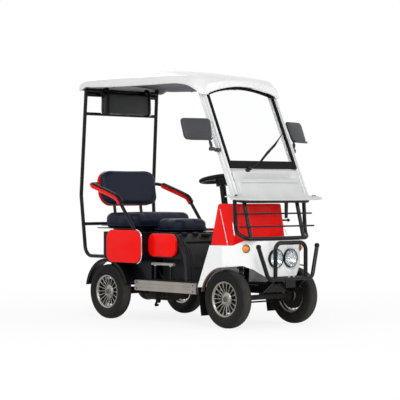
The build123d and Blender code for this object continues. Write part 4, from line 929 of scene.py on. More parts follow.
# Wheels and running gear
@dataclass
class Wheel:
    """One tyre on its spoked aluminium rim.

    Attributes:
        name: end of the node names, such as front_left.
        x: axle place along the cart.
        y: middle plane of the wheel.
        outward: 1 if the outer face looks to +Y, else -1.
        z: axle height.
        tyre_r: outer radius of the tyre.
        half_w: half width of the tyre.
        tread_drop: how far under the tyre's radius its tread starts.
        tread_ease: height over which the tread grows to its full depth.
        groove: depth of the tread.
        ring_y: distance of the tread's two rings from the middle plane.
        blocks: slanted slots round the tyre.
        slant: how far a slot turns over the tyre's width, in radians of one block.
        ribs: fine ribs round a sidewall.
        rib_r: radius of the ring that they stand on.
        line_r: radius of the raised line on a sidewall.
        spokes: number of spokes.
        spoke_r: radii between which a spoke runs, in millimetres.
        bolts: number of wheel bolts.
        bolt_circle: radius of the circle that they lie on.
    """

    name: str
    x: float
    y: float
    outward: int
    z: float = 187.5 * MM
    tyre_r: float = 187.5 * MM
    half_w: float = 46.0 * MM
    tread_drop: float = 16.0 * MM
    tread_ease: float = 7.0 * MM
    groove: float = 3.2 * MM
    ring_y: float = 11.0 * MM
    blocks: int = 44
    slant: float = 30.0
    ribs: int = 120
    rib_r: float = 148.0 * MM
    line_r: float = 134.0 * MM
    spokes: int = 18
    spoke_r: tuple[float, float] = (44.0, 103.0)
    bolts: int = 4
    bolt_circle: float = 32.0 * MM

    def about_axle(self, profile: np.ndarray, steps: int) -> Sheet:
        """A profile turned about the axle."""
        return turned(profile, (self.x, self.y, self.z), (0, self.outward, 0), steps)

    def tyre(self) -> Sheet:
        """The tyre's skin.

        The section is a smooth curve through a table of half widths and radii, from bead to bead. Two rings
        and slanted slots are sunk into the crown by smooth steps of the angle and the width, and a ring of
        fine ribs and a raised line lie on each sidewall.

        Returns:
            The grid, closed in both directions.
        """
        table = mm((33, 111.5), (36, 115), (42, 124), (45.6, 138), (46, 150), (43.5, 164), (38, 175),
                   (30.5, 182), (20, 185.8), (10, 187.2), (0, 187.5))
        half = hermite(np.linspace(0, 1, 38), np.linspace(0, 1, len(table)), table)
        y, r = np.concatenate([half * (-1, 1), half[-2::-1]]).T
        t = np.linspace(0, TAU, 352, endpoint=False)[:, None]
        crown = np.clip((r - (self.tyre_r - self.tread_drop)) / self.tread_ease, 0, 1)
        rings = ridge(np.abs(y), self.ring_y, 2.0 * MM)
        turn = self.blocks * t + self.slant * np.abs(y) / (self.half_w * 2)
        slots = np.clip(np.sin(turn) * 4.0 - 2.4, 0, 1) * np.clip((np.abs(y) - 10 * MM) / (3 * MM), 0, 1)
        radius = r - self.groove * crown * np.clip(rings + slots, 0, 1)
        ribs = 0.5 * MM * ridge(r, self.rib_r, 4 * MM) * np.sin(self.ribs * t)
        side = y + np.sign(y) * (ribs + 0.8 * MM * ridge(r, self.line_r, 1.6 * MM))
        points = grid_points(self.x + radius * np.cos(t), self.y + side, self.z + radius * np.sin(t))
        return Sheet(points, loop_rows=True, loop_columns=True)

    def spoke(self) -> np.ndarray:
        """One spoke: a rounded box section along a line that bows outwards, slimmest in the middle.

        Returns:
            Points of shape (along, round, 3).
        """
        u = np.linspace(0, 1, 14)[:, None]
        s = np.linspace(0, TAU, 10, endpoint=False)[None, :]
        box = lambda wave: np.sign(wave) * np.abs(wave) ** 0.6
        inner, outer = self.spoke_r
        reach = (inner + (outer - inner) * u) * MM
        plane = (14 + 14 * u ** 2 + 6 * np.sin(np.pi * u)) * MM
        half = (3.6 - 0.9 * np.sin(np.pi * u) + 1.8 * u ** 6) * MM
        deep = (7.0 + 3 * (1 - u)) * MM
        return grid_points(self.x + reach, self.y + self.outward * (plane + deep * 0.5 * box(np.sin(s))),
                           self.z + half * box(np.cos(s)))

    def rim(self) -> list[Sheet]:
        """The barrel and lips, the spokes, the hub disc and the bolts.

        Returns:
            The closed grids.
        """
        barrel = mm((104, -33), (113, -35), (114.5, -33), (112, -28), (106, -24), (102, 0), (106, 24),
                    (112, 28), (114.5, 33), (114, 35), (110, 35.5), (104, 32), (100, 24), (98, 0), (100, -24),
                    (104, -33))
        hub = mm((0, 12), (30, 12), (45, 8), (48, 10), (47, 15), (40, 18), (36, 21), (26, 22.5), (25, 26),
                 (0, 26))
        back = mm((0, -27.5), (34, -27.5), (36.5, -25), (36.5, 11), (0, 11))
        bolt = turned(mm((0, 27), (5.5, 27), (7, 25.5), (7, 18), (0, 18)),
                      (self.x + self.bolt_circle, self.y, self.z), (0, self.outward, 0), 6)
        centre = np.array([self.x, self.y, self.z])
        spokes = turn_points(self.spoke(), centre, LEFT, TAU * np.arange(self.spokes) / self.spokes)
        bolts = turn_points(bolt.points, centre, LEFT, TAU * (np.arange(self.bolts) + 0.5) / self.bolts)
        return [self.about_axle(barrel, 96), self.about_axle(hub, 64), self.about_axle(back, 48),
                Sheet(spokes, loop_columns=True), Sheet(bolts, loop_rows=True)]

    def make(self, gear: Assembly) -> None:
        """Builds the tyre, the rim, the hub cap and the ribbed brake drum on the wheel's inner side.

        Args:
            gear: places the pieces.
        """
        body = f"wheel_{self.name}"
        cap = mm((0, 25), (0.1, 30), (12, 30), (17, 28), (19, 24), (0, 24))
        drum = mm((0, -0.5), (60, -0.5), (72, -3), (78, -1), (86, -2), (88, -4), (88, -9), (86, -10),
                  (86, -12), (88, -13), (88, -18), (86, -19), (86, -23), (80, -25.5), (0, -25.5))
        gear.add(f"road_tyre_{self.name}", [self.tyre()], TYRE, "tyre_rubber", body, (f"tyre_{self.name}",))
        gear.add(f"spoked_rim_{self.name}", self.rim(), ALLOY, "rim_alloy", body, (f"rim_{self.name}",),
                 crease=SHARP)
        gear.add(f"hub_cap_{self.name}", [self.about_axle(cap, 40)], TARNISH, "rim_alloy", body, crease=SHARP)
        gear.add(f"brake_drum_{self.name}", [self.about_axle(drum, 72)], DRUM, "axle_black", body,
                 crease=SHARP)


@dataclass
class RunningGear(Assembly):
    """Wheels, axles, springs and the chassis.

    Attributes:
        front_x: front axle place.
        rear_x: rear axle place.
        front_y: middle plane of a front wheel.
        rear_y: middle plane of a rear wheel.
        spring_y: middle of a spring.
        spring_feet: heights of the front and the rear springs' lower ends.
        spring_top: height of the springs' upper ends.
        spring_turns: turns of a spring.
        spring_r: radius of its helix.
        wire_r: radius of its wire.
        seat_h: height of the seat at either end of a spring.
    """

    front_x: float = 601.0 * MM
    rear_x: float = -529.0 * MM
    front_y: float = 304.5 * MM
    rear_y: float = 343.5 * MM
    spring_y: float = 190.0 * MM
    spring_feet: tuple[float, float] = (203.4 * MM, 216.4 * MM)
    spring_top: float = 439.6 * MM
    spring_turns: int = 8
    spring_r: float = 22.5 * MM
    wire_r: float = 4.3 * MM
    seat_h: float = 8.0 * MM

    def springs(self) -> None:
        """The coil springs and the damper rods inside them.

        A spring is a helix whose rise, u - 0.55 * sin(TAU * u) / TAU, is slow at both ends, where its turns
        close up.
        """
        coils, rods = [], []
        u = np.linspace(0, 1, 30 * self.spring_turns)
        angle = TAU * self.spring_turns * u
        climb = u - 0.55 * np.sin(TAU * u) / TAU
        for x, low in zip((self.front_x, self.rear_x), self.spring_feet):
            height = self.spring_top - low
            rise = low + self.seat_h + (height - 2 * self.seat_h) * climb
            along, across = self.spring_r * np.cos(angle), self.spring_r * np.sin(angle)
            path = grid_points(x + along, across - self.spring_y, rise)
            coils.append(tube(path, self.wire_r, UP, 8))
            top = height / MM
            rod = mm((0, 0), (26, 0), (26, 4), (12, 6), (8, 6), (8, 110), (13, 112), (13, top - 6),
                     (26, top - 4), (26, top), (0, top))
            rods.append(turned(rod, (x, -self.spring_y, low), UP, 24))
        self.add("coil_springs", mirrored(coils), SPRING, "spring_steel", replaces=("shocks",))
        self.add("damper_rods", mirrored(rods), SATIN, "axle_black", crease=SHARP)

    def make(self) -> None:
        """Builds the four wheels and the springs and dresses the rest."""
        for end, x, y in (("front", self.front_x, self.front_y), ("rear", self.rear_x, self.rear_y)):
            for side, sign in (("left", 1), ("right", -1)):
                Wheel(f"{end}_{side}", x, sign * y, sign).make(self)
        for name in ("front_axle", "rear_axle", "knuckle_left", "knuckle_right", "tie_rod"):
            self.keep(name, SATIN)
        self.springs()
        self.keep("frame", POWDER)
        self.keep("floor", MAT)
        self.keep("sills", EXTRUSION)
        self.keep("battery", GRAINED)
        self.keep("mud_flaps", SEAL)


# Seats
@dataclass
class Pad:
    """How one stuffed cushion is made from its plain solid.

    Attributes:
        node: the frame's node.
        name: the piece.
        swell: furthest that a point may move, in metres.
        crown: how much higher the middle of its top is.
        rounding: exponent of the outline that it keeps within, across the cart and up, or 0 for none.
        shrink: share of its size at which the cloth starts.
        fill: how tightly it is stuffed; not used.
    """

    node: str
    name: str
    swell: float
    crown: float = 0.0
    rounding: float = 0.0
    shrink: float = 0.96
    fill: float = 0.8


@dataclass
class Seating(Assembly):
    """Cushions, backrest and armrests.

    Attributes:
        voxel: spacing of a cushion's mesh before it is made finer.
        pressure: how hard a cushion is blown up.
        frames: steps of its cloth.
        stretch: the cloth's stiffness against stretching and pressing, and bending the same for folds.
        rise_room: how far its top may rise over its solid.
        smoothing: rounds of smoothing that follow.
        arm_line: middle line of the right armrest's tube, in millimetres.
        arm_bend: how far from a corner of that line its bend starts.
        sleeve_r: inner radius of what is sleeved over the tube, in millimetres.
        back_lean: degrees that the backrest leans back.
        back_middle: middle of the backrest's rear face, in millimetres.
    """

    voxel: float = 5.5 * MM
    pressure: float = 4.0
    frames: int = 20
    stretch: float = 20.0
    bending: float = 1.0
    rise_room: float = 4.0 * MM
    smoothing: int = 28
    arm_line: tuple[tuple[float, float, float], ...] = (
        (-753, -328, 922.3), (-474, -328, 835), (-438, -328, 791))
    arm_bend: float = 27.0 * MM
    sleeve_r: float = 12.4
    back_lean: float = 10.0
    back_middle: tuple[float, float, float] = (-768.0, 0.0, 903.5)

    def blow_up(self, piece: Piece, pad: Pad, start: np.ndarray, low: float, high: float) -> None:
        """Runs the cloth, and keeps each point near its start and between the heights of the solid.

        Args:
            piece: the shrunken cushion.
            pad: how far its points may move.
            start: its vertices.
            low: lowest height.
            high: highest height of the solid.
        """
        cloth = piece.modifiers.new("cloth", "CLOTH")
        cloth.settings.use_pressure = True
        cloth.settings.uniform_pressure_force = self.pressure
        cloth.settings.effector_weights.gravity = 0.0
        cloth.settings.tension_stiffness = cloth.settings.compression_stiffness = self.stretch
        cloth.settings.bending_stiffness = self.bending
        cloth.settings.quality = 6
        for number in range(1, self.frames + 1):
            bpy.context.scene.frame_set(number)
        apply_modifiers(piece)
        bpy.context.scene.frame_set(1)
        move = read_points(piece) - start
        length = np.linalg.norm(move, axis=1, keepdims=True)
        blown = start + move * np.minimum(1.0, pad.swell / np.maximum(length, 1e-9))
        blown[:, 2] = np.clip(blown[:, 2], low, high + self.rise_room)
        write_points(piece, blown)

    def stuffed(self, pad: Pad) -> Piece:
        """Makes a cushion: its solid is remeshed, shrunk, blown up as cloth, crowned, rounded and smoothed.

        The crown is a product of parabolas along and across, and the rounding draws points in to the curve
        abs(y) ** n + abs(z) ** n = 1 of the cushion's half sizes.

        Args:
            pad: what to make.

        Returns:
            The cushion.
        """
        mesh = self.node(pad.node).data.copy()
        piece = bpy.data.objects.new(pad.name, mesh)
        bpy.context.scene.collection.objects.link(piece)
        shape = bmesh.new()
        shape.from_mesh(mesh)
        bmesh.ops.remove_doubles(shape, verts=shape.verts, dist=1e-5)
        shape.to_mesh(mesh)
        shape.free()
        remesh = piece.modifiers.new("remesh", "REMESH")
        remesh.mode = "VOXEL"
        remesh.voxel_size = self.voxel
        apply_modifiers(piece)
        points = read_points(piece)
        low, high = points.min(0), points.max(0)
        middle = (low + high) / 2
        start = middle + (points - middle) * pad.shrink
        start[:, 2] -= (1 - pad.shrink) * (high[2] - low[2]) / 2
        write_points(piece, start)
        self.blow_up(piece, pad, start, low[2], high[2])
        points = read_points(piece)
        middle, half = (points.max(0) + points.min(0)) / 2, (points.max(0) - points.min(0)) / 2
        share = (points - middle) / half
        if pad.crown:
            rise = np.clip(share[:, 2], 0, 1) * (1 - share[:, 0] ** 2) * (1 - share[:, 1] ** 2)
            points[:, 2] += pad.crown * rise
        if pad.rounding:
            size = (np.abs(share[:, 1:]) ** pad.rounding).sum(1) ** (1 / pad.rounding)
            points[:, 1:] = middle[1:] + (points[:, 1:] - middle[1:]) / np.maximum(size, 1)[:, None]
        write_points(piece, points)
        smooth = piece.modifiers.new("smooth", "SMOOTH")
        smooth.factor, smooth.iterations = 0.5, self.smoothing
        finer = piece.modifiers.new("finer", "SUBSURF")
        finer.levels = finer.render_levels = 1
        apply_modifiers(piece)
        piece.data.shade_smooth()
        return piece

    def sleeve(self, above: bool) -> Sheet:
        """A part sleeve along the armrest's tube and round its bend, upper or lower, on the right side.

        The section is an outer and an inner arc about the tube, and a quarter circle eases in both ends.

        Args:
            above: the upper half, else the lower.

        Returns:
            The closed grid.
        """
        line = rounded_path(mm(*self.arm_line), self.arm_bend, 12)
        u = spacing((0, 0.06, 9), (0.06, 0.72, 8), (0.72, 0.94, 14), (0.94, 1, 9))
        path = even_curve(line, u)
        ahead = np.gradient(path, axis=0)
        ahead /= np.linalg.norm(ahead, axis=1, keepdims=True)
        over = np.cross(ahead, LEFT)
        ease = np.sqrt(np.clip(1 - (1 - np.minimum(np.minimum(u, 1 - u) / 0.05, 1)) ** 2, 0, 1))
        s = np.linspace(0.50, math.pi - 0.50, 22) if above else np.linspace(math.pi - 0.42, TAU + 0.42, 22)
        swell = 9.2 if above else 8.6
        outer = (self.sleeve_r + 0.4 + swell * ease)[:, None] * MM
        angle = np.concatenate([s, s[::-1]])
        radius = np.concatenate([outer * np.ones(22), np.full((len(u), 22), self.sleeve_r * MM)], 1)
        points = (path[:, None] + (np.cos(angle) * radius)[..., None] * LEFT
                  + (np.sin(angle) * radius)[..., None] * over[:, None])
        return Sheet(capped(points), loop_columns=True)

    def shell(self) -> Sheet:
        """The backrest's red shell: a thin plate with generous corners, crowned to the rear.

        Returns:
            The closed grid.
        """
        lean = math.radians(self.back_lean)
        up = np.array([-math.sin(lean), 0, math.cos(lean)])
        seat = mm(*self.back_middle) - np.array([math.cos(lean), 0, math.sin(lean)]) * 11 * MM
        return domed_plate(seat - up * 5 * MM, (0, -1.0, 0), up, (257 * MM, 125 * MM), 94 * MM, 9 * MM,
                           11 * MM, 0.6, 20)

    def piping(self, rear: float, front: float, half_w: float, z: float) -> Sheet:
        """A cord round a cushion: a rounded rectangle at one height.

        Args:
            rear: its rear edge, in millimetres.
            front: its front edge.
            half_w: its half width.
            z: its height.

        Returns:
            The closed grid.
        """
        loop = rounded_loop((front - rear) / 2 * MM, half_w * MM, 40 * MM)
        path = grid_points(loop[:, 0] + (rear + front) / 2 * MM, loop[:, 1], z * MM)
        return tube(path, 3 * MM, UP, 8, closed=True)

    def make(self) -> None:
        """Builds the cushions, piping, armrests and shell and dresses the seat's tubes."""
        for pad in (Pad("rear_seat", "bench_cushion", 11 * MM, crown=5 * MM),
                    Pad("driver_seat", "driver_cushion", 9 * MM, crown=5 * MM),
                    Pad("backrest", "back_cushion", 10 * MM, rounding=4.4)):
            piece = self.place(self.stuffed(pad), LEATHER, "seat_leather", CHASSIS, (pad.node,))
        cords = [self.piping(-709, -353, 297, 640), self.piping(-313, -41, 152, 616)]
        self.add("cushion_piping", cords, LEATHER, "seat_leather")
        self.add("back_shell", [self.shell()], RED, "panel_red", replaces=("backrest_shell",))
        self.add("arm_pads", mirrored([self.sleeve(True)]), TRIM, "trim_black", replaces=("armrest_pads",))
        self.add("arm_covers", mirrored([self.sleeve(False)]), RED, "panel_red", replaces=("armrest_covers",))
        self.keep("seat_frame", POWDER)


def apply_modifiers(piece: Piece) -> None:
    """Bakes a piece's modifiers into its mesh.

    Args:
        piece: the piece.
    """
    bpy.context.view_layer.update()
    graph = bpy.context.evaluated_depsgraph_get()
    shown = piece.evaluated_get(graph)
    mesh = bpy.data.meshes.new_from_object(shown, preserve_all_data_layers=True, depsgraph=graph)
    piece.modifiers.clear()
    piece.data = mesh


def read_points(piece: Piece) -> np.ndarray:
    """Reads a piece's vertices.

    Args:
        piece: the piece.

    Returns:
        An array of shape (n, 3).
    """
    flat = np.empty(len(piece.data.vertices) * 3, np.float32)
    piece.data.vertices.foreach_get("co", flat)
    return flat.reshape(-1, 3).astype(float)


def write_points(piece: Piece, points: np.ndarray) -> None:
    """Puts vertices back."""
    piece.data.vertices.foreach_set("co", points.astype(np.float32).ravel())
    piece.data.update()


# Roof, windscreen and canopy
@dataclass
class Canopy(Assembly):
    """Roof, tube frame, windscreen, cowl and mirrors.

    Attributes:
        roof_table: places along X with the roof's lower edge, side height, crown height, half width and
            corner, in millimetres.
        wall: thickness of the roof's skin.
        end_wall: how far the roof's back wall and brow reach along the cart.
        panel_half_w: half width of the raised panel on the crown, and panel_rise its height.
        seam_y: distance of the crown's two grooves from the middle, and seam_depth their depth.
        arch_half_w: half width of the opening above the windscreen.
        arch_side_z: height of that opening's ends.
        arch_rise: rise of its middle.
        shade_sheet_drop: how far the painted shade sheet hangs under the crown.
        cowl_line: side view of the cowl, from the screen's foot to the visor's lip.
        cowl_half_w: half width of the cowl between the pillars.
        wing_half_w: half width of the visor's wings.
        pillar_foot: place along X and height of a pillar's foot.
        pillar_head: the same of its head.
        pillar_y: middle plane of a pillar.
        screen_foot: place along X and height of the screen's foot.
        screen_head: the same of its head.
        mirror_middle: middle of the right mirror.
        mirror_half: half width and half height of a mirror.
        mirror_turn: degrees that the mirrors are turned outwards.
        mirror_lean: how far back a mirror leans for each unit of height.
        header_x: place along X of the canopy's header bar, and header_z its height.
        roll_middle: middle of the rolled curtain.
        roll_half_w: its half width.
        roll_half_h: its half height.
        roll_half_t: its half thickness.
        strap_y: distance of a strap from the middle.
    """

    roof_table: tuple[tuple[float, float, float, float, float, float], ...] = (
        (-833, 1583, 1632, 1650, 377, 34), (-800, 1590, 1645, 1670, 380, 26),
        (-764, 1604, 1648, 1682, 380, 24), (-700, 1601, 1648, 1692, 380, 24),
        (-600, 1597, 1648, 1697, 380, 24), (-400, 1591, 1646, 1697, 380, 24),
        (-195, 1588, 1641, 1694, 380, 24), (8, 1586, 1638, 1685, 380, 24),
        (108, 1586, 1636, 1676, 380, 26), (206, 1582, 1632, 1661, 379, 30),
        (302, 1562, 1626, 1645, 374, 44), (350, 1538, 1611, 1635, 366, 60),
        (390, 1510, 1586, 1622, 352, 84), (424, 1500, 1564, 1606, 338, 94))
    wall: float = 5.0 * MM
    end_wall: tuple[float, float] = (12.0 * MM, 8.0 * MM)
    panel_half_w: float = 258.0 * MM
    panel_rise: float = 7.0 * MM
    seam_y: float = 338.0 * MM
    seam_depth: float = 4.0 * MM
    arch_half_w: float = 303.0 * MM
    arch_side_z: float = 1514.0 * MM
    arch_rise: float = 52.0 * MM
    shade_sheet_drop: float = 22.0 * MM
    cowl_line: tuple[tuple[float, float], ...] = (
        (626, 1018), (640, 1012), (650, 1001), (656, 988), (662, 972), (669, 957), (676, 944), (683, 930),
        (691, 910), (700, 886), (710, 864), (724, 844), (742, 831), (757, 824), (760, 817), (755, 813))
    cowl_half_w: float = 304.0 * MM
    wing_half_w: float = 420.0 * MM
    pillar_foot: tuple[float, float] = (675.0 * MM, 848.0 * MM)
    pillar_head: tuple[float, float] = (332.0 * MM, 1605.0 * MM)
    pillar_y: float = 318.0 * MM
    screen_foot: tuple[float, float] = (621.0, 1025.0)
    screen_head: tuple[float, float] = (399.0, 1515.0)
    mirror_middle: tuple[float, float, float] = (478.0 * MM, -459.5 * MM, 1275.0 * MM)
    mirror_half: tuple[float, float] = (100.0 * MM, 70.0 * MM)
    mirror_turn: float = 18.0
    mirror_lean: float = 0.36
    header_x: float = -806.0 * MM
    header_z: float = 1588.0 * MM
    roll_middle: tuple[float, float, float] = (-768.0 * MM, 0.0, 1498.0 * MM)
    roll_half_w: float = 214.0 * MM
    roll_half_h: float = 70.0 * MM
    roll_half_t: float = 22.0 * MM
    strap_y: float = 190.0 * MM

    def roof_rows(self, x: np.ndarray) -> list[np.ndarray]:
        """The roof's measures, read from its table by smooth curves."""
        table = mm(*self.roof_table)
        return list(hermite(x, table[:, 0], table[:, 1:]).T[..., None])

    def roof_section(self, x: np.ndarray) -> np.ndarray:
        """The roof's sections: skirt, rounded shoulder, seam grooves, a parabolic crown and its raised panel.

        Args:
            x: places along the cart.

        Returns:
            Points of shape (places, across, 3).
        """
        low, side, crown, half, corner = self.roof_rows(x)
        inner = half - corner
        share = spacing((-1, -0.76, 14), (-0.76, -0.70, 9), (-0.70, 0.70, 31), (0.70, 0.76, 9), (0.76, 1, 14))
        y = share[None, :] * inner
        top = side + (crown - side) * (1 - (y / half) ** 2)
        along = x[:, None]
        panel = (step(-np.abs(y), -self.panel_half_w, 0.014) * step(along, -0.742, 0.020)
                 * step(-along, 0.060, 0.16))
        seam = (ridge(np.abs(y), self.seam_y, 3.5 * MM) * step(along, -0.74, 0.02)
                * step(-along, -0.14, 0.05))
        top = top + self.panel_rise * panel - self.seam_depth * seam
        t = np.linspace(0, 1, 10)[None, 1:-1]
        shoulder = side + (crown - side) * (1 - (inner / half) ** 2)
        start = np.maximum(side - corner, low + 4 * MM)
        bend_y = bend(t, -half, -half, -inner)
        bend_z = bend(t, start, shoulder - 2 * MM, shoulder)
        skirt_z = low + (start - low) * np.linspace(0, 1, 5)[None, :]
        skirt_y = -half * np.ones_like(skirt_z)
        across = np.concatenate([skirt_y, bend_y, y, -bend_y[:, ::-1], -skirt_y[:, ::-1]], 1)
        height = np.concatenate([skirt_z, bend_z, top, bend_z[:, ::-1], skirt_z[:, ::-1]], 1)
        return grid_points(along, across, height)

    def roof(self) -> list[Sheet]:
        """The roof's skin: sections along the cart, with a wall rolled down at the back and a brow in front.

        The first section sinks to its lowest edge by a sine while it moves back by a rounded step, and the
        last one sinks to the windscreen's parabolic arch.

        Returns:
            One open grid.
        """
        rear, front = self.roof_table[0][0] * MM, self.roof_table[-1][0] * MM
        back_x, brow_x = self.end_wall
        body = self.roof_section(spacing((rear + back_x, -0.76, 12), (-0.76, -0.72, 9), (-0.72, 0.15, 36),
                                         (0.15, 0.33, 16), (0.33, front - brow_x, 22)))
        drop = np.linspace(0, 1, 12)[:, None]
        first = body[0]
        low = first[:, 2].min()
        back = np.repeat(first[None], 12, 0)
        back[..., 2] = low + (first[:, 2] - low) * np.sin(drop * TAU / 4) ** 0.8
        back[..., 0] = rear + back_x * (1 - np.sqrt(1 - drop ** 4))
        last = body[-1]
        arch = np.where(np.abs(last[:, 1]) < self.arch_half_w,
                        self.arch_side_z + self.arch_rise * (1 - (last[:, 1] / self.arch_half_w) ** 2),
                        last[:, 2].min())
        arch = np.minimum(arch, last[:, 2])
        brow = np.repeat(last[None], 12, 0)
        brow[..., 2] = last[:, 2] + (arch - last[:, 2]) * (1 - np.cos(drop * TAU / 4)) ** 0.9
        brow[..., 0] = front - brow_x + brow_x * np.sqrt(1 - (1 - drop) ** 2)
        return [Sheet(np.concatenate([back, body, brow[1:]]))]

    def painted_shade_sheet(self) -> list[Sheet]:
        """Painted shade under the roof: the crown's sections, lower, and lower still towards the skirt.

        A fifth power of the share of the width follows the roof's corner, and two ridges cross the sheet.

        Returns:
            One open grid.
        """
        x = spacing((-0.815, 0.375, 60))
        low, side, crown, half, corner = self.roof_rows(x)
        share = np.linspace(-1, 1, 45)[None, :]
        skirt = 30 * MM * step(np.abs(share), 0.95, 0.08)
        height = side + (crown - side) * (1 - share ** 2) - self.shade_sheet_drop - skirt
        height = height - (corner - 24 * MM) * 0.95 * np.abs(share) ** 5
        height = np.maximum(height, low + 2 * MM)
        height = height - 6 * MM * ridge(np.abs(x[:, None] + 0.25), 0.22, 10 * MM)
        return [Sheet(grid_points(x[:, None], share * (half - 13 * MM), height))]

    def pillars(self) -> list[Sheet]:
        """Both screen pillars: a stepped section with chamfers along a leaning line, and a foot plate.

        Returns:
            The closed grids.
        """
        section = mm((-26, -8), (-22, -13), (6, -13), (9, -9.5), (20, -9.5), (23, -13), (33, -14), (37, -11),
                     (37, -3), (26, -1), (26, 9), (20, 13), (-22, 13), (-26, 9))
        foot = np.array([self.pillar_foot[0], -self.pillar_y, self.pillar_foot[1]])
        head = np.array([self.pillar_head[0], -self.pillar_y, self.pillar_head[1]])
        plate = foot + mm(6, -34, -8)
        plate_loop = rounded_loop(36 * MM, 30 * MM, 10 * MM)
        return mirrored([prism(section, foot, head), prism(plate_loop, plate, plate + mm(0, 0, 6))])

    def cowl(self) -> list[Sheet]:
        """The cowl and its visor: a curved side line drawn across, which bows forward and widens into wings.

        The ends roll back between the pillars, the width grows by a smooth step over the lowest part, a
        shallow hollow runs under the upper lip, a groove crosses the sheet below that, and a fold runs down
        beside each pillar.

        Returns:
            One open grid.
        """
        u = spacing((0, 0.22, 14), (0.22, 0.46, 40), (0.46, 0.80, 16), (0.80, 1, 22))
        side = even_curve(mm(*self.cowl_line), u)
        v = np.linspace(-1, 1, 121)[None, :]
        side_x, side_z = side[:, :1], side[:, 1:]
        grow = step(u, 0.80, 0.20)[:, None]
        width = self.cowl_half_w + (self.wing_half_w - self.cowl_half_w) * grow
        bow = 1 - v ** 2
        end = np.clip((np.abs(v) - 0.86) / 0.14, 0, 1) ** 2
        hollow = (np.clip((0.994 - side_z) / 0.034, 0, 1) * step(side_z, 0.956, 0.007)
                  * step(-np.abs(v), -0.74, 0.34))
        groove = ridge(side_z, 0.930, 2.8 * MM) * step(-np.abs(v), -0.86, 0.03)
        fold = ridge(np.abs(v), 0.955, 0.008) * step(-side_z, -0.955, 0.03) * (1 - grow)
        x = side_x + 7 * MM * bow - 20 * MM * end * (1 - 0.4 * grow)
        x = x - 21 * MM * hollow - 7 * MM * groove - 5 * MM * fold
        z = side_z + 3 * MM * bow + 10 * MM * grow * np.abs(v) ** 3 - 3 * MM * groove
        return [Sheet(grid_points(x, v * width, z))]

    def mirror_place(self, sheet: Sheet) -> Sheet:
        """Leans and turns what was drawn about a mirror's middle and brings it to its place.

        Args:
            sheet: a grid about the origin.

        Returns:
            The grid on the right side.
        """
        points = sheet.points.copy()
        points[..., 0] -= points[..., 2] * self.mirror_lean
        points = turn_points(points, (0, 0, 0), UP, -math.radians(self.mirror_turn))
        return Sheet(points + np.array(self.mirror_middle), sheet.loop_rows, sheet.loop_columns)

    def mirror_housing(self) -> list[Sheet]:
        """One mirror: a crowned housing that narrows downwards, its lip, and its arm with clamp and rings.

        Returns:
            The closed grids of the right side.
        """
        half_h = self.mirror_half[1]
        shell = domed_plate((-4 * MM, 0, 0), LEFT, UP, self.mirror_half, 26 * MM, 18 * MM, 14 * MM, 0.35, 16)
        shell.points[..., 1:2] *= 1 - 0.05 * np.clip(-shell.points[..., 2:] / half_h, -1, 1)
        lip_line = mm((10, -88, -60), (18, -72, -69), (18, 80, -69), (10, 94, -58))
        lip = tube(rounded_path(lip_line, 12 * MM), 4.5 * MM, FORWARD, 10)
        clamp, knee, neck, inside = mm((547, -345, 1141), (524, -374, 1148), (522, -386, 1192),
                                       (488, -396, 1262))
        arm = rounded_path([clamp, knee, neck, inside], 12 * MM)
        ring = mm((6, -3), (11.5, -2), (11.5, 2), (6, 3), (6, -3))
        rings = [turned(ring, knee + (neck - knee) * share, neck - knee, 20)
                 for share in (0.45, 0.62, 0.79, 0.96)]
        bolt = turned(mm((0, 7), (6, 7), (7, 5), (7, 0), (0, 0)), clamp - mm(0, 12, 0), (0, -1, 0), 6)
        return [self.mirror_place(shell), self.mirror_place(lip), *rings, bolt,
                tube(arm, np.linspace(9, 7, len(arm)) * MM, (0, 1, 0.2), 12),
                superellipsoid(clamp, mm(20, 14, 12)), superellipsoid(knee, mm(17, 15, 12))]

    def mirror_pane(self) -> Sheet:
        """One silvered pane in the back of its housing.

        Returns:
            The closed grid of the right side.
        """
        pane = domed_plate((-19 * MM, 0, 0), (0, -1, 0), UP, (90 * MM, 62 * MM), 20 * MM, 1.2 * MM, 2 * MM,
                           0.3, 8)
        return self.mirror_place(pane)

    def screen_axes(self) -> tuple[np.ndarray, np.ndarray]:
        """The screen's foot and its upward direction, both in the cart's side view."""
        foot, head = np.array(self.screen_foot), np.array(self.screen_head)
        return foot, (head - foot) / np.linalg.norm(head - foot)

    def on_screen(self, *places: tuple[float, float, float]) -> np.ndarray:
        """Points by their places on the screen.

        Args:
            places: how far across the screen, up the screen and in front of it, in millimetres.

        Returns:
            Points of shape (places, 3), in metres.
        """
        foot, up = self.screen_axes()
        y, v, out = np.array(places, float).T[..., None]
        spot = foot + up * v + np.array([up[1], -up[0]]) * out
        return np.concatenate([spot[:, :1], y, spot[:, 1:]], 1) * MM

    def wiper(self) -> list[Sheet]:
        """The wiper: pivot housing, tapered arm with a spring housing, and a blade on its bridge.

        Returns:
            The closed grids.
        """
        up = self.screen_axes()[1]
        out = np.array([up[1], 0.0, -up[0]])
        arm = self.on_screen((-178, -24, 12), (-150, -12, 19), (-129, -3, 21), (-74, 22, 22), (-15, 52, 21),
                             (70, 112, 19))
        blade = self.on_screen((-30, 42, 14), (-8, 56, 15), (66, 109, 15), (156, 166, 15), (215, 212, 14),
                               (270, 256, 13))
        bridge = self.on_screen((20, 76, 19), (70, 112, 23), (124, 146, 19))
        pivot, housing = self.on_screen((-150, -8, 4), (-176, -24, 8))
        knob = mm((0, 22), (11, 21.5), (15, 18), (16, 8), (16, -1), (0, -1))
        return [tube(arm, mm(9, 8.5, 6, 5, 4.5, 4), out, 10, flat=0.6),
                tube(blade, mm(5, 8, 9, 8.5, 4.5, 3), out, 8, flat=0.9),
                tube(bridge, mm(5, 9, 5), out, 8, flat=0.6),
                turned(knob, pivot, out, 20), superellipsoid(housing, mm(18, 20, 12))]

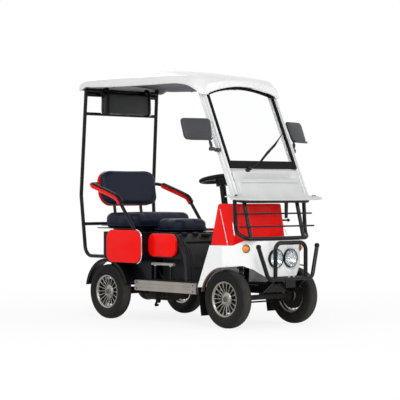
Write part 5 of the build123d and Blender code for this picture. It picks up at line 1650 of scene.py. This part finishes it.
    def curtain(self) -> list[Sheet]:
        """The rolled curtain: a rounded slab whose faces sag and crease, by two sines that run slantwise.

        Returns:
            One closed grid.
        """
        loop = rounded_loop(self.roll_half_t, self.roll_half_h, 14 * MM, 14)
        y = np.linspace(-self.roll_half_w, self.roll_half_w, 90)[:, None]
        pinch = 1 - 0.06 * (np.abs(y) / self.roll_half_w) ** 12
        height = loop[None, :, 1] / self.roll_half_h
        crease = np.sin(y * 46 + height * 2.4) + 0.6 * np.sin(y * 91 - height * 3.1 + 1.0)
        sag = 1 + 0.035 * crease * (1 - height ** 4)
        points = grid_points(self.roll_middle[0] + loop[None, :, 0] * sag * pinch, y,
                             self.roll_middle[2] + loop[None, :, 1] * pinch)
        return [Sheet(capped(points), loop_columns=True)]

    def straps(self) -> list[Sheet]:
        """Two straps that hang the curtain on the header: flat loops round both.

        Returns:
            The closed grids.
        """
        loop = rounded_loop(self.roll_half_t + 3 * MM, self.roll_half_h + 20 * MM, 18 * MM, 8)
        path = grid_points(self.roll_middle[0] + loop[:, 0], 0.0, self.roll_middle[2] + 14 * MM + loop[:, 1])
        return [tube(path + (0, y, 0), 11 * MM, LEFT, 12, closed=True, flat=0.16)
                for y in (-self.strap_y, self.strap_y)]

    def wrap(self) -> list[Sheet]:
        """The clear film round the rolled curtain: a wavy loop round it, longer than it at both ends.

        Returns:
            One open grid.
        """
        room, overhang = 2.5 * MM, 14 * MM
        loop = rounded_loop(self.roll_half_t + room, self.roll_half_h + room, 16 * MM)
        y = np.linspace(-self.roll_half_w - overhang, self.roll_half_w + overhang, 40)[:, None]
        wave = 1 + 0.015 * np.sin(y * 60) * np.cos(np.linspace(0, 3 * TAU, len(loop)))[None, :]
        points = grid_points(self.roll_middle[0] + loop[None, :, 0] * wave, y,
                             self.roll_middle[2] + loop[None, :, 1] * wave)
        return [Sheet(points, loop_columns=True)]

    def header(self) -> list[Sheet]:
        """The bar above the rolled curtain and a hanger at each of its ends.

        Returns:
            The closed grids.
        """
        x, z = self.header_x, self.header_z
        bar = tube(np.array([(x, -0.330, z), (x, 0.330, z)]), 13 * MM, FORWARD, 16)
        hangers = [tube(np.array([(x - 6 * MM, y, z - 16 * MM), (x, y, z + 4 * MM)]), 9 * MM, FORWARD, 12)
                   for y in (-0.322, 0.322)]
        return [bar, *hangers]

    def make(self) -> None:
        """Builds the roof, cowl, mirrors, wiper and curtain and dresses the rest."""
        cowl_screws = mm((668, -362, 851), (698, -330, 852), (716, -338, 853), (728, -360, 849),
                         (728, 352, 849), (716, 384, 848), (668, 362, 851))
        # The gel coat's grey partly paints in the shade on the roof's side.
        self.add("roof_shell", self.roof(), GELCOAT, "roof_white", replaces=("roof",), wall=self.wall)
        # Painted shade: a grey sheet under the white roof stands for the shade on its underside.
        self.add("roof_painted_shade_sheet", self.painted_shade_sheet(), SHADE_SHEET, "roof_white", wall=3 * MM)
        self.add("screen_pillars", self.pillars(), PILLAR, "body_white", replaces=("pillars",), crease=25.0)
        self.add("cowl_visor", self.cowl(), SILVER, "cowl_grey", replaces=("cowl",), wall=3 * MM)
        self.add("cowl_screws", [screws(cowl_screws, UP, 6.5 * MM, 4 * MM)], TRIM, "trim_black")
        self.add("canopy_header", self.header(), POWDER, "frame_black")
        self.add("curtain_roll", self.curtain(), POUCH, "pouch_vinyl", replaces=("curtain_pouch",))
        self.add("curtain_straps", self.straps(), TRIM, "trim_black")
        self.add("curtain_wrap", self.wrap(), WRAP, "pouch_vinyl", wall=0.6 * MM)
        # Painted light: the housings take a lighter copy of the black trim's colour.
        self.add("mirror_housings", mirrored(self.mirror_housing()), TRIM_LIT_CHARCOAL, "trim_black",
                 replaces=("mirrors",))
        self.add("mirror_panes", mirrored([self.mirror_pane()]), MIRROR, "mirror_silver",
                 replaces=("mirror_glass",))
        self.add("wiper_arm", self.wiper(), TRIM, "trim_black", replaces=("wiper",))
        self.keep("windscreen_glass", GLASS)
        self.keep("windscreen_seal", SEAL)
        self.keep("canopy_frame", POWDER)


# Bodywork
@dataclass
class Bodywork(Assembly):
    """Front and rear bodies, console, panels, lamps, steering and bumpers.

    Attributes:
        lamp_x: the headlamps' front.
        lamp_y: half distance of the headlamps.
        lamp_z: their height.
        lens_r: radius of a headlamp's lens, in millimetres.
        flasher_seat: middle of the left indicator's seat.
        flasher_turn: degrees that the indicators look outwards.
        arch_x: middle of the front wheel arches.
        arch_z: their height.
        arch_r: their radius.
        arch_y: side face of the nose at the arches.
        console_lines: strips on the console, each with X and Z of both ends.
        console_edges: height and half width of the console's lower edge, then of its top.
        sill_face_y: outer face of a sill.
        column_tilt: degrees that the steering column leans back.
        wheel_hub: middle of the steering wheel.
    """

    lamp_x: float = 806.0 * MM
    lamp_y: float = 65.0 * MM
    lamp_z: float = 446.0 * MM
    lens_r: float = 57.4
    flasher_seat: tuple[float, float, float] = (705.0, 250.0, 510.0)
    flasher_turn: float = 52.0
    arch_x: float = 601.0 * MM
    arch_z: float = 187.5 * MM
    arch_r: float = 204.5 * MM
    arch_y: float = -352.5 * MM
    console_lines: tuple[tuple[float, float, float, float], ...] = (
        (433, 768, 542, 531), (565, 679, 596, 590))
    console_edges: tuple[tuple[float, float], tuple[float, float]] = ((530, 250), (796, 212))
    sill_face_y: float = 335.5
    column_tilt: float = 10.0
    wheel_hub: tuple[float, float, float] = (225.0, 0.0, 948.0)

    def lamps(self) -> None:
        """The headlamps: black bezels, stepped chrome bowls with a bulb shield, and fluted domed lenses.

        A bowl's depth grows by a power of its radius with fine steps on it, and a lens is a parabola whose
        front waves across the cart.
        """
        bezel = mm((56.5, -1), (57.5, 0.5), (59.5, 0.5), (61, -2), (61, -8), (61, -59), (30, -60), (30, -58),
                   (59, -57), (59, -8), (57.5, -4), (56.5, -3), (56.5, -1))
        t = np.linspace(0, 1, 24)
        reach, depth = 4 + 53 * t, 40 * t ** 2.2
        front = np.stack([reach, depth - 46 + 0.8 * np.sin(t * 50)], -1)
        back = np.stack([reach, depth - 48], -1)[::-1]
        bowl = mm((0, -46), *front, *back, (0, -48))
        shield = mm((0, -18), (6, -18.5), (11, -21), (12, -26), (11, -30), (0, -30))
        r = np.linspace(0, self.lens_r, 24)
        dome = -6 + 5.5 * (1 - (r / self.lens_r) ** 2)
        pane = mm(*np.stack([r, dome], -1), *np.stack([r, dome - 2.2], -1)[::-1])
        bezels, bowls, lenses = [], [], []
        for y in (-self.lamp_y, self.lamp_y):
            centre = (self.lamp_x, y, self.lamp_z)
            bezels.append(turned(bezel, centre, FORWARD, 72))
            bowls += [turned(bowl, centre, FORWARD, 72), turned(shield, centre, FORWARD, 24)]
            lens = turned(pane, centre, FORWARD, 96)
            lens.points[..., 0] += 0.5 * MM * np.cos((lens.points[..., 1] - y) / MM * 1.1)
            lenses.append(lens)
        self.add("headlamp_bezels", bezels, TRIM, "trim_black", crease=SHARP)
        self.add("headlamp_bowls", bowls, CHROME, "lamp_chrome", replaces=("headlamps",), crease=60.0)
        self.add("headlamp_glass", lenses, LENS, "clear_glass", replaces=("headlamp_lenses",))

    def flashers(self) -> None:
        """The amber indicators: ribbed domes in dark rims on the shoulders of the nose.

        A dome is a power of the sine against one of the cosine, with a fine wave as its ribs.
        """
        turn = math.radians(self.flasher_turn)
        out = np.array([math.cos(turn), math.sin(turn), 0.0])
        seat = mm(*self.flasher_seat) - out * 10 * MM
        t = np.linspace(0, TAU / 4, 18)
        ribs = 0.35 * np.sin(23 * np.sin(t) * 1.6)
        dome = np.stack([23 * np.sin(t) ** 0.9, 12 + 17 * np.cos(t) ** 1.2 + ribs], -1)
        lens = turned(mm(*dome, (23, 0), (0, 0)), seat, out, 48)
        section = mm((22.5, 8), (23.5, 13), (25.5, 14), (27.5, 11), (28, 0), (22.5, 0), (22.5, 8))
        rim = turned(section, seat, out, 48)
        self.add("indicator_domes", mirrored([lens]), AMBER, "amber_lens", replaces=("indicators",))
        self.add("indicator_rims", mirrored([rim]), TRIM_LIT_CHARCOAL, "trim_black", crease=SHARP)

    def panels(self) -> None:
        """The red side panels: crowned plates with generous corners, and a bright trim round the rear one."""
        parts = []
        # Middle along and up, half width, half height, corner, seat beside the middle, depth and crown
        for x, z, half_w, half_h, corner, seat, depth, rise in ((-340, 504, 180, 111, 62, 388.3, 6, 11.6),
                                                                (-18, 517, 138, 77, 55, 323.3, 18, 15.8)):
            parts.append(domed_plate(mm(x, -seat, z), FORWARD, UP, (half_w * MM, half_h * MM), corner * MM,
                                     rise * MM, depth * MM, 0.6, 22))
        self.add("gloss_side_panels", mirrored(parts), RED, "panel_red", replaces=("side_panels",))
        run = rounded_path(mm((-206, -387, 619), (-152, -387, 604), (-150, -387, 408), (-196, -387, 389)),
                           45 * MM)
        self.add("panel_trims", mirrored([tube(run, 4.0 * MM, LEFT, 10)]), CHROME, "rim_alloy")

    def cover_piping(self) -> list[Sheet]:
        """Raised piping along both edges of the cover in front of the driver's seat, on a smooth curve.

        Returns:
            The closed grids.
        """
        line = mm((38, 596), (60, 595), (88, 582), (118, 551), (152, 508), (178, 464), (196, 418), (206, 374),
                  (209, 330), (210, 290))
        path = hermite(np.linspace(0, 1, 60), np.linspace(0, 1, len(line)), line)
        return mirrored([tube(grid_points(path[:, 0], y * MM, path[:, 1]), radius * MM, LEFT, 10)
                         for y, radius in ((-296, 4.5), (-262, 2.5))])

    def cover_fittings(self) -> list[Sheet]:
        """The lid catch and hinge blocks on the cover's shelf, and a grip in the door.

        Returns:
            The closed blocks.
        """
        hinges = [superellipsoid(mm(76, y, 590), mm(20, 16, 12), 0.35) for y in (-205, -105, 155)]
        catch = superellipsoid(mm(94, -20, 583), mm(16, 40, 10), 0.35)
        return [*hinges, catch, superellipsoid(mm(176, 0, 480), mm(12, 70, 10))]

    def console_trims(self) -> list[Sheet]:
        """Bright strips on the console: a long slanting one and a short one on each side, along its flank.

        Returns:
            The closed grids.
        """
        (low_z, low_half_w), (top_z, top_half_w) = self.console_edges
        t = np.linspace(0, 1, 12)
        strips = []
        for x0, z0, x1, z1 in self.console_lines:
            x, z = x0 + (x1 - x0) * t, z0 + (z1 - z0) * t
            flank = top_half_w + (low_half_w - top_half_w) * (top_z - z) / (top_z - low_z)
            strips.append(tube(grid_points(x, -flank - 0.5, z) * MM, 2.6 * MM, LEFT, 8))
        return mirrored(strips)

    def arch_lips(self) -> list[Sheet]:
        """The liners inside the front wheel arches: a flanged strip carried round each arch.

        Returns:
            The closed grids.
        """
        t = np.radians(np.linspace(78, 168, 50))[:, None]
        section = mm((1, 0), (1, -30), (-2, -30), (-9, -4), (-9, 0))
        radius = self.arch_r + section[None, :, 0]
        points = grid_points(self.arch_x + radius * np.cos(t), self.arch_y - section[None, :, 1],
                             self.arch_z + radius * np.sin(t))
        return mirrored([Sheet(capped(points), loop_columns=True)])

    def underside(self) -> list[Sheet]:
        """What hangs under the floor beside the battery: a stand's bracket with its leg, and two cables.

        Returns:
            The closed grids.
        """
        leg = mm((-150, -196, 186), (-195, -198, 150), (-226, -200, 98), (-196, -200, 104))
        cables = (mm((-150, -270, 330), (-110, -284, 262), (-20, -286, 254), (60, -280, 300)),
                  mm((-120, -262, 345), (-60, -284, 300), (20, -282, 270), (110, -270, 296)))
        return [superellipsoid(mm(-176, -190, 190), mm(38, 12, 26), 0.3),
                superellipsoid(mm(-205, -190, 150), mm(14, 14, 34)),
                superellipsoid(mm(-140, -190, 146), mm(40, 10, 7)),
                tube(rounded_path(leg, 10 * MM), 8 * MM, LEFT, 12),
                *(tube(rounded_path(run, 40 * MM), 5 * MM, LEFT, 10) for run in cables)]

    def fittings(self) -> None:
        """Small parts: sill screws, bumper bolts and caps, and the steering wheel's red cap."""
        places = mm(*((x, -self.sill_face_y, z) for z in (262, 220) for x in (-262, 302)))
        heads = screws(places, (0, -1, 0), 5 * MM, 2.5 * MM)
        self.add("sill_screws", mirrored([heads]), TRIM, "trim_black")
        bolts = screws(mm((868, -22, 330), (868, 22, 330)), FORWARD, 8 * MM, 5 * MM)
        self.add("bumper_bolts", [bolts], ZINC, "rim_alloy")
        caps = [superellipsoid(mm(841, y, 524), mm(14.5, 14.5, 16), 0.7) for y in (-269, 269)]
        self.add("bumper_caps", caps, TRIM, "trim_black")
        tilt = math.radians(self.column_tilt)
        cap = turned(mm((0, 24), (20, 22.5), (28, 18), (31, 10), (31, 2), (0, 2)), mm(*self.wheel_hub),
                     (-math.sin(tilt), 0, math.cos(tilt)), 40)
        self.add("wheel_cap", [cap], RED, "panel_red", "steering_wheel")

    def make(self) -> None:
        """Builds lamps, indicators, panels and trims and dresses the body's other nodes."""
        self.lamps()
        self.flashers()
        self.panels()
        self.fittings()
        self.add("cover_piping", self.cover_piping(), BLACK, "cover_black")
        self.add("cover_fittings", self.cover_fittings(), TRIM, "trim_black")
        self.add("console_trims", self.console_trims(), CHROME, "lamp_chrome")
        self.add("arch_liners", self.arch_lips(), RUST, "axle_black", crease=SHARP)
        self.add("underside_fittings", self.underside(), TRIM, "frame_black")
        looks = ((WHITE, ("front_body",)), (RED, ("dash_console",)), (GRAINED, ("battery_cover",)),
                 (TRIM, ("steering_column", "steering_wheel", "pedals", "brake_lever")),
                 (POWDER, ("bumper", "front_rack")), (BLACK, ("rear_body", "mudguards", "seat_box")),
                 (LAMP_RED, ("tail_lamps",)), (TUBE_SILVER, ("side_tubes",)))
        for finish, names in looks:
            for name in names:
                self.keep(name, finish)


# Camera, light and floor
@dataclass
class Studio:
    """A low viewpoint off the right front corner, plain soft light and a pale floor.

    Attributes:
        eye: camera place.
        aim: point that it looks at.
        lens_mm: focal length on a 36 mm frame.
        floor_half: half size of the floor.
        glance: height of the point that the lamps shine at.
        sky_level: strength of the sky's light on the cart.
        fade: distances between which the floor fades out, and how much of it is gone at each.
    """

    eye: tuple[float, float, float] = (7.7447, -7.1581, 0.8715)
    aim: tuple[float, float, float] = (0.0232, -0.0139, 0.8179)
    lens_mm: float = 139.5
    floor_half: float = 60.0
    glance: float = 0.8
    sky_level: float = 0.56
    fade: tuple[tuple[float, float], tuple[float, float]] = ((1.1, 4.2), (0.84, 1.0))

    def look(self, item: Piece, place: tuple[float, float, float], aim: tuple[float, float, float]) -> None:
        """Puts the camera or a lamp in its place and points it.

        Args:
            item: what is placed.
            place: where it stands.
            aim: the point that it faces.
        """
        item.location = place
        item.rotation_mode = "QUATERNION"
        item.rotation_quaternion = (Vector(aim) - Vector(place)).to_track_quat("-Z", "Y")
        bpy.context.scene.collection.objects.link(item)

    def camera(self) -> None:
        """Places the camera."""
        data = bpy.data.cameras.new("camera")
        data.lens, data.sensor_width = self.lens_mm, 36.0
        data.clip_end = 400.0
        camera = bpy.data.objects.new("camera", data)
        self.look(camera, self.eye, self.aim)
        bpy.context.scene.camera = camera

    def lamp(self, name: str, place: tuple[float, float, float], size: float, watts: float) -> None:
        """Adds a square soft lamp that shines at the cart.

        Args:
            name: its name.
            place: where it hangs.
            size: side of the square in metres.
            watts: its power.
        """
        data = bpy.data.lights.new(name, "AREA")
        data.size, data.energy = size, watts
        self.look(bpy.data.objects.new(name, data), place, (0.0, 0.0, self.glance))

    def sky(self) -> None:
        """A plain world: soft grey light on the cart, and white where the camera or a reflection sees it."""
        world = bpy.data.worlds.new("studio")
        world.use_nodes = True
        tree = world.node_tree
        ray = add_node(tree, "ShaderNodeLightPath").outputs
        seen = maths(tree, "MAXIMUM", ray["Is Camera Ray"], ray["Is Transmission Ray"])
        level = remap(tree, maths(tree, "MAXIMUM", seen, ray["Is Glossy Ray"]), (self.sky_level, 1.0))
        tree.links.new(level, tree.nodes["Background"].inputs["Strength"])
        tree.nodes["Background"].inputs["Color"].default_value = linear("FFFFFF")
        bpy.context.scene.world = world

    def floor(self) -> None:
        """A pale floor that fades into the white background and keeps the cart's shadow."""
        half = self.floor_half
        sides = np.array([-half, half])
        floor = build("floor_sheet", [Sheet(grid_points(sides[None, :], sides[:, None], 0.0))])
        mat, tree, place = new_material("studio floor, matt paint")
        tree.nodes.remove(tree.nodes["Principled BSDF"])
        paint = blend(tree, noise(tree, place, 0.7), linear("FAFAFA"), linear("F6F6F7"))
        matt = add_node(tree, "ShaderNodeBsdfDiffuse", None, {"Color": paint}).outputs[0]
        glow = add_node(tree, "ShaderNodeEmission", {"Color": linear("FFFFFF")}).outputs[0]
        ray = add_node(tree, "ShaderNodeLightPath").outputs["Is Camera Ray"]
        away = add_node(tree, "ShaderNodeVectorMath", {"operation": "LENGTH"}, {0: place}).outputs["Value"]
        distances, gone = self.fade
        share = maths(tree, "MULTIPLY", ray, remap(tree, away, gone, distances))
        both = add_node(tree, "ShaderNodeMixShader", None, {0: share, 1: matt, 2: glow}).outputs[0]
        tree.links.new(both, tree.nodes["Material Output"].inputs["Surface"])
        floor.data.materials.append(mat)
        floor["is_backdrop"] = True

    def make(self) -> None:
        """Sets up camera, lamps, sky and floor."""
        bpy.context.scene.view_settings.view_transform = "Standard"
        self.camera()
        self.sky()
        self.floor()
        self.lamp("key_softbox", (5.5, -4.0, 4.5), 3.0, 220.0)
        self.lamp("side_softbox", (0.5, -6.0, 3.0), 3.0, 60.0)
        self.lamp("fill_softbox", (6.0, 3.0, 2.6), 3.0, 95.0)
        self.lamp("back_softbox", (-5.0, 2.0, 3.5), 3.0, 60.0)


def corners() -> list[list[float]]:
    """The lowest and the highest corner of what shows."""
    return [list(corner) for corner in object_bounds()]


def main() -> None:
    """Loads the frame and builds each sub-assembly in order."""
    logging.basicConfig(level=logging.INFO, format="%(name)s %(message)s")
    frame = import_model()
    Studio().make()
    for assembly in (RunningGear(frame), Bodywork(frame), Canopy(frame), Seating(frame)):
        assembly.make()
        LOG.info("finished %s", type(assembly).__name__)


if __name__ == "__main__":
    main()
